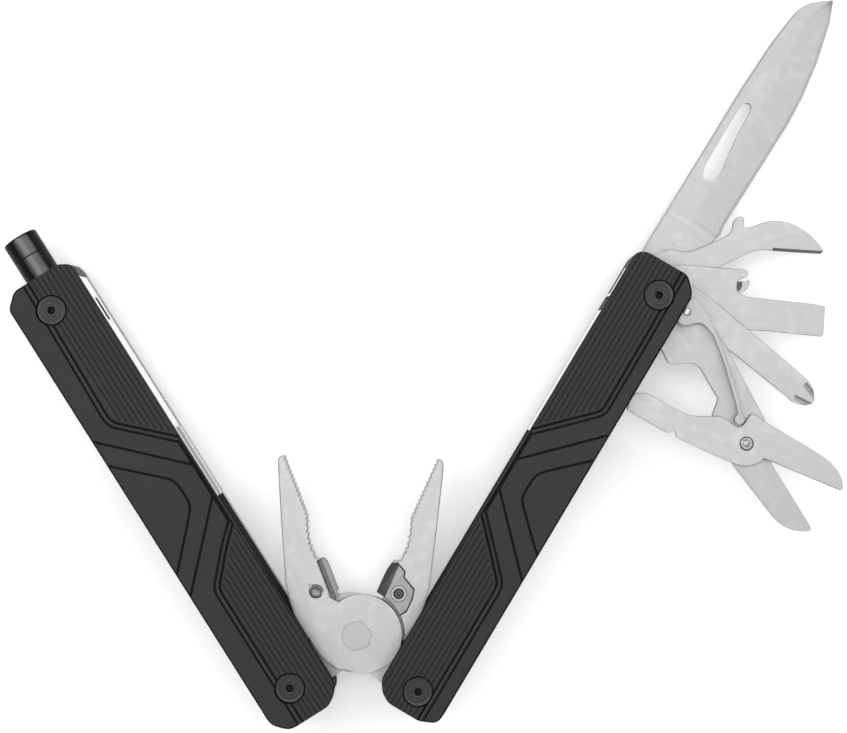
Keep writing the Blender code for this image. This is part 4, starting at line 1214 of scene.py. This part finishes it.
# --------------------------------------------- CAD pieces that keep their shape
JAW_LOOK = dict(tone=grey(0.462), rough=0.52, lines=0.08, blast=0.6)
KEPT_STEEL = {
    "plier_jaw_left": dict(deg=JAW_GRAIN_DEG["left"], **JAW_LOOK),
    "plier_jaw_right": dict(deg=JAW_GRAIN_DEG["right"], **JAW_LOOK),
    "back_spring": dict(
        deg=HANDLE_DEG["right"], tone=grey(0.90, blue=0.89), rough=0.42, lines=0.8, blast=0.2
    ),
    "torch_housing": dict(deg=HANDLE_DEG["left"], tone=grey(0.85), lines=0.6, blast=0.4),
}
TURNED = {
    "torch_battery": dict(tone=grey(0.5), rough=0.3),
    "tool_pivot_spacer": dict(tone=(0.52, 0.36, 0.14), rough=0.32),
}
OTHER_TURNED = dict(tone=grey(0.50, blue=0.495), rough=0.32, rings=1800.0)


def kept_look(name):
    look_name = f"{name}_look"
    if "liner" in name:
        return dark_flat_liner(look_name, HANDLE_DEG[name.split("_")[0]])
    if name in KEPT_STEEL:
        return steel(look_name, **KEPT_STEEL[name])
    if name.startswith("torch_tailcap"):
        return torch_black
    low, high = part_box(name)
    middle = (low + high) / 2
    return turned_metal(look_name, (middle.x, middle.y, 0), **TURNED.get(name, OTHER_TURNED))


def soften(obj, width, skin=0.0):
    """Rounds a CAD piece's sharp edges with modifiers, and thins it by a skin."""
    weld = obj.modifiers.new("weld", "WELD")
    weld.merge_threshold = 0.000002
    if skin:
        thin = obj.modifiers.new("skin", "DISPLACE")
        thin.strength, thin.mid_level = -skin * MM, 0.0
    bevel = obj.modifiers.new("edge_round", "BEVEL")
    bevel.width = width * MM
    bevel.segments = 2
    bevel.limit_method = "ANGLE"
    bevel.angle_limit = math.radians(32.0)
    bevel.use_clamp_overlap = True
    normal = obj.modifiers.new("even_normals", "WEIGHTED_NORMAL")
    normal.keep_sharp = False
    normal.weight = 90
    obj.data.polygons.foreach_set("use_smooth", [True] * len(obj.data.polygons))


for name in sorted(name for name, obj in frame["nodes"].items() if not obj.hide_render):
    obj = frame["nodes"][name]
    look = kept_look(name)
    obj.data.materials.clear()
    obj.data.materials.append(look)
    obj.data.polygons.foreach_set("material_index", [0] * len(obj.data.polygons))
    # The levers' shoulders meet at the wide-open stop; their skin keeps them a hair apart.
    if name.startswith("plier_jaw"):
        soften(obj, width=0.05, skin=0.05)
    else:
        soften(obj, width=0.12)

# ------------------------------------------------------- small fitted details
LEFT_CAP = [
    (97.72, -5.9), (96.6, -7.95), (95.55, -8.16), (94.1, -8.16), (94.1, -7.93),
    (95.4, -7.93), (96.38, -7.73), (97.48, -5.8),
]
RIGHT_CAP = [
    (100.35, 5.5), (99.65, 6.95), (98.2, 7.46), (96.0, 7.46), (96.0, 7.0), (98.0, 7.0),
    (99.3, 6.6), (99.9, 5.5),
]
trim = black_scale("trim_black_look", 0.0, tone=0.010)
# The latch slots are near-black sheets: painted shade in the slots.
slot_shade_black = black_scale("slot_painted_shade_look", 0.0, tone=0.003, rough=0.7)
left_rail = dark_flat_liner("left_rail_look", HANDLE_DEG["left"])
right_rail = dark_flat_liner("right_rail_look", HANDLE_DEG["right"])
# Name (after its side), solid, look, slot.
DETAILS = [
    ("left", "end_cap", slab(LEFT_CAP, -5.0, 5.2, rim=0.03), trim, "scale_black"),
    ("left", "latch_slot", bar((83.6, -8.04, -1.2), (88.9, -7.85, 1.6)), slot_shade_black, "scale_black"),
    ("left", "housing_foot", bar((57.2, -8.0, -5.1), (57.75, -7.2, 5.1)), left_rail, "housing_alloy"),
    ("right", "spring_seat", bar((89.9, 6.9, -1.2), (96.1, 7.3, 2.8)), right_rail, "liner_steel"),
    ("right", "end_cap", slab(RIGHT_CAP, 0.25, 5.25, rim=0.05), trim, "scale_black"),
    ("right", "latch_slot", bar((85.9, 7.2, -4.9), (89.2, 7.38, 2.7)), slot_shade_black, "scale_black"),
]
for side, part, solid, look, slot in DETAILS:
    fit(piece(solid, look), f"{side}_{part}", HANDLES[side]["matrix"], f"{side}_handle")

# ------------------------------------------------------ floor, light, camera -
FLOOR_HALF, FLOOR_Z = 3, -0.0002
CAMERA_X, CAMERA_Y = 0.000146, -0.001354
CAMERA_ABOVE = 0.425  # over the tool's top
VIEW_WIDTH = 0.1713481  # seen across at the tool's top
SENSOR_WIDTH = 36.0

floor_look = Look("floor_pale", 0.9, 0.0, grey(0.86))
cloud = floor_look.noise(floor_look.coords(), scale=8.0, detail=2.0)
floor_look.surface({
    "Base Color": floor_look.mix(floor_look.ramp(cloud), grey(0.90), grey(0.93)),
    "Emission Color": (1.0, 1.0, 1.0, 1.0),
    "Emission Strength": 0.26,
})
floor_mesh = bpy.data.meshes.new("floor")
floor_corners = [
    (x * FLOOR_HALF, y * FLOOR_HALF, FLOOR_Z) for x, y in ((-1, -1), (1, -1), (1, 1), (-1, 1))
]
floor_mesh.from_pydata(floor_corners, [], [(0, 1, 2, 3)])
floor = bpy.data.objects.new("floor", floor_mesh)
bpy.context.scene.collection.objects.link(floor)
floor_mesh.materials.append(floor_look.mat)

# A light tent: brighter round the horizon than overhead.
world = bpy.data.worlds.new("soft_room")
world.use_nodes = True
tree = world.node_tree
sky = tree.nodes["Background"]
sky.inputs[0].default_value = (0.97, 0.98, 1.0, 1.0)
coords = tree.nodes.new("ShaderNodeTexCoord")
split = tree.nodes.new("ShaderNodeSeparateXYZ")
fade = tree.nodes.new("ShaderNodeMapRange")
FADE = {"From Min": 0.05, "From Max": 0.6, "To Min": 0.95, "To Max": 0.46}  # height to strength
for key, value in FADE.items():
    fade.inputs[key].default_value = value
tree.links.new(coords.outputs["Generated"], split.inputs[0])
tree.links.new(split.outputs[2], fade.inputs["Value"])
tree.links.new(fade.outputs[0], sky.inputs[1])
bpy.context.scene.world = world


def softbox(name, at, size, energy):
    """A square light aimed at the origin."""
    light = bpy.data.lights.new(name, "AREA")
    light.shape = "SQUARE"
    light.size = size
    light.energy = energy
    made = bpy.data.objects.new(name, light)
    bpy.context.scene.collection.objects.link(made)
    made.location = at
    made.rotation_euler = (-Vector(at)).to_track_quat("-Z", "Y").to_euler()


softbox("overhead", at=(0.03, 0.04, 0.95), size=0.62, energy=3.1)
softbox("key_left", at=(-0.42, 0.16, 0.80), size=0.32, energy=1.5)
softbox("fill_right", at=(0.46, 0.42, 0.58), size=0.45, energy=1.6)

# The camera looks straight down on the tool.
camera_data = bpy.data.cameras.new("camera")
camera_data.sensor_width = SENSOR_WIDTH
camera_data.lens = SENSOR_WIDTH * CAMERA_ABOVE / VIEW_WIDTH
camera_data.clip_start = 0.01
camera = bpy.data.objects.new("camera", camera_data)
bpy.context.scene.collection.objects.link(camera)
camera.location = (CAMERA_X, CAMERA_Y, TOOL_THICK + CAMERA_ABOVE)
bpy.context.scene.camera = camera
bpy.context.scene.view_settings.view_transform = "Standard"
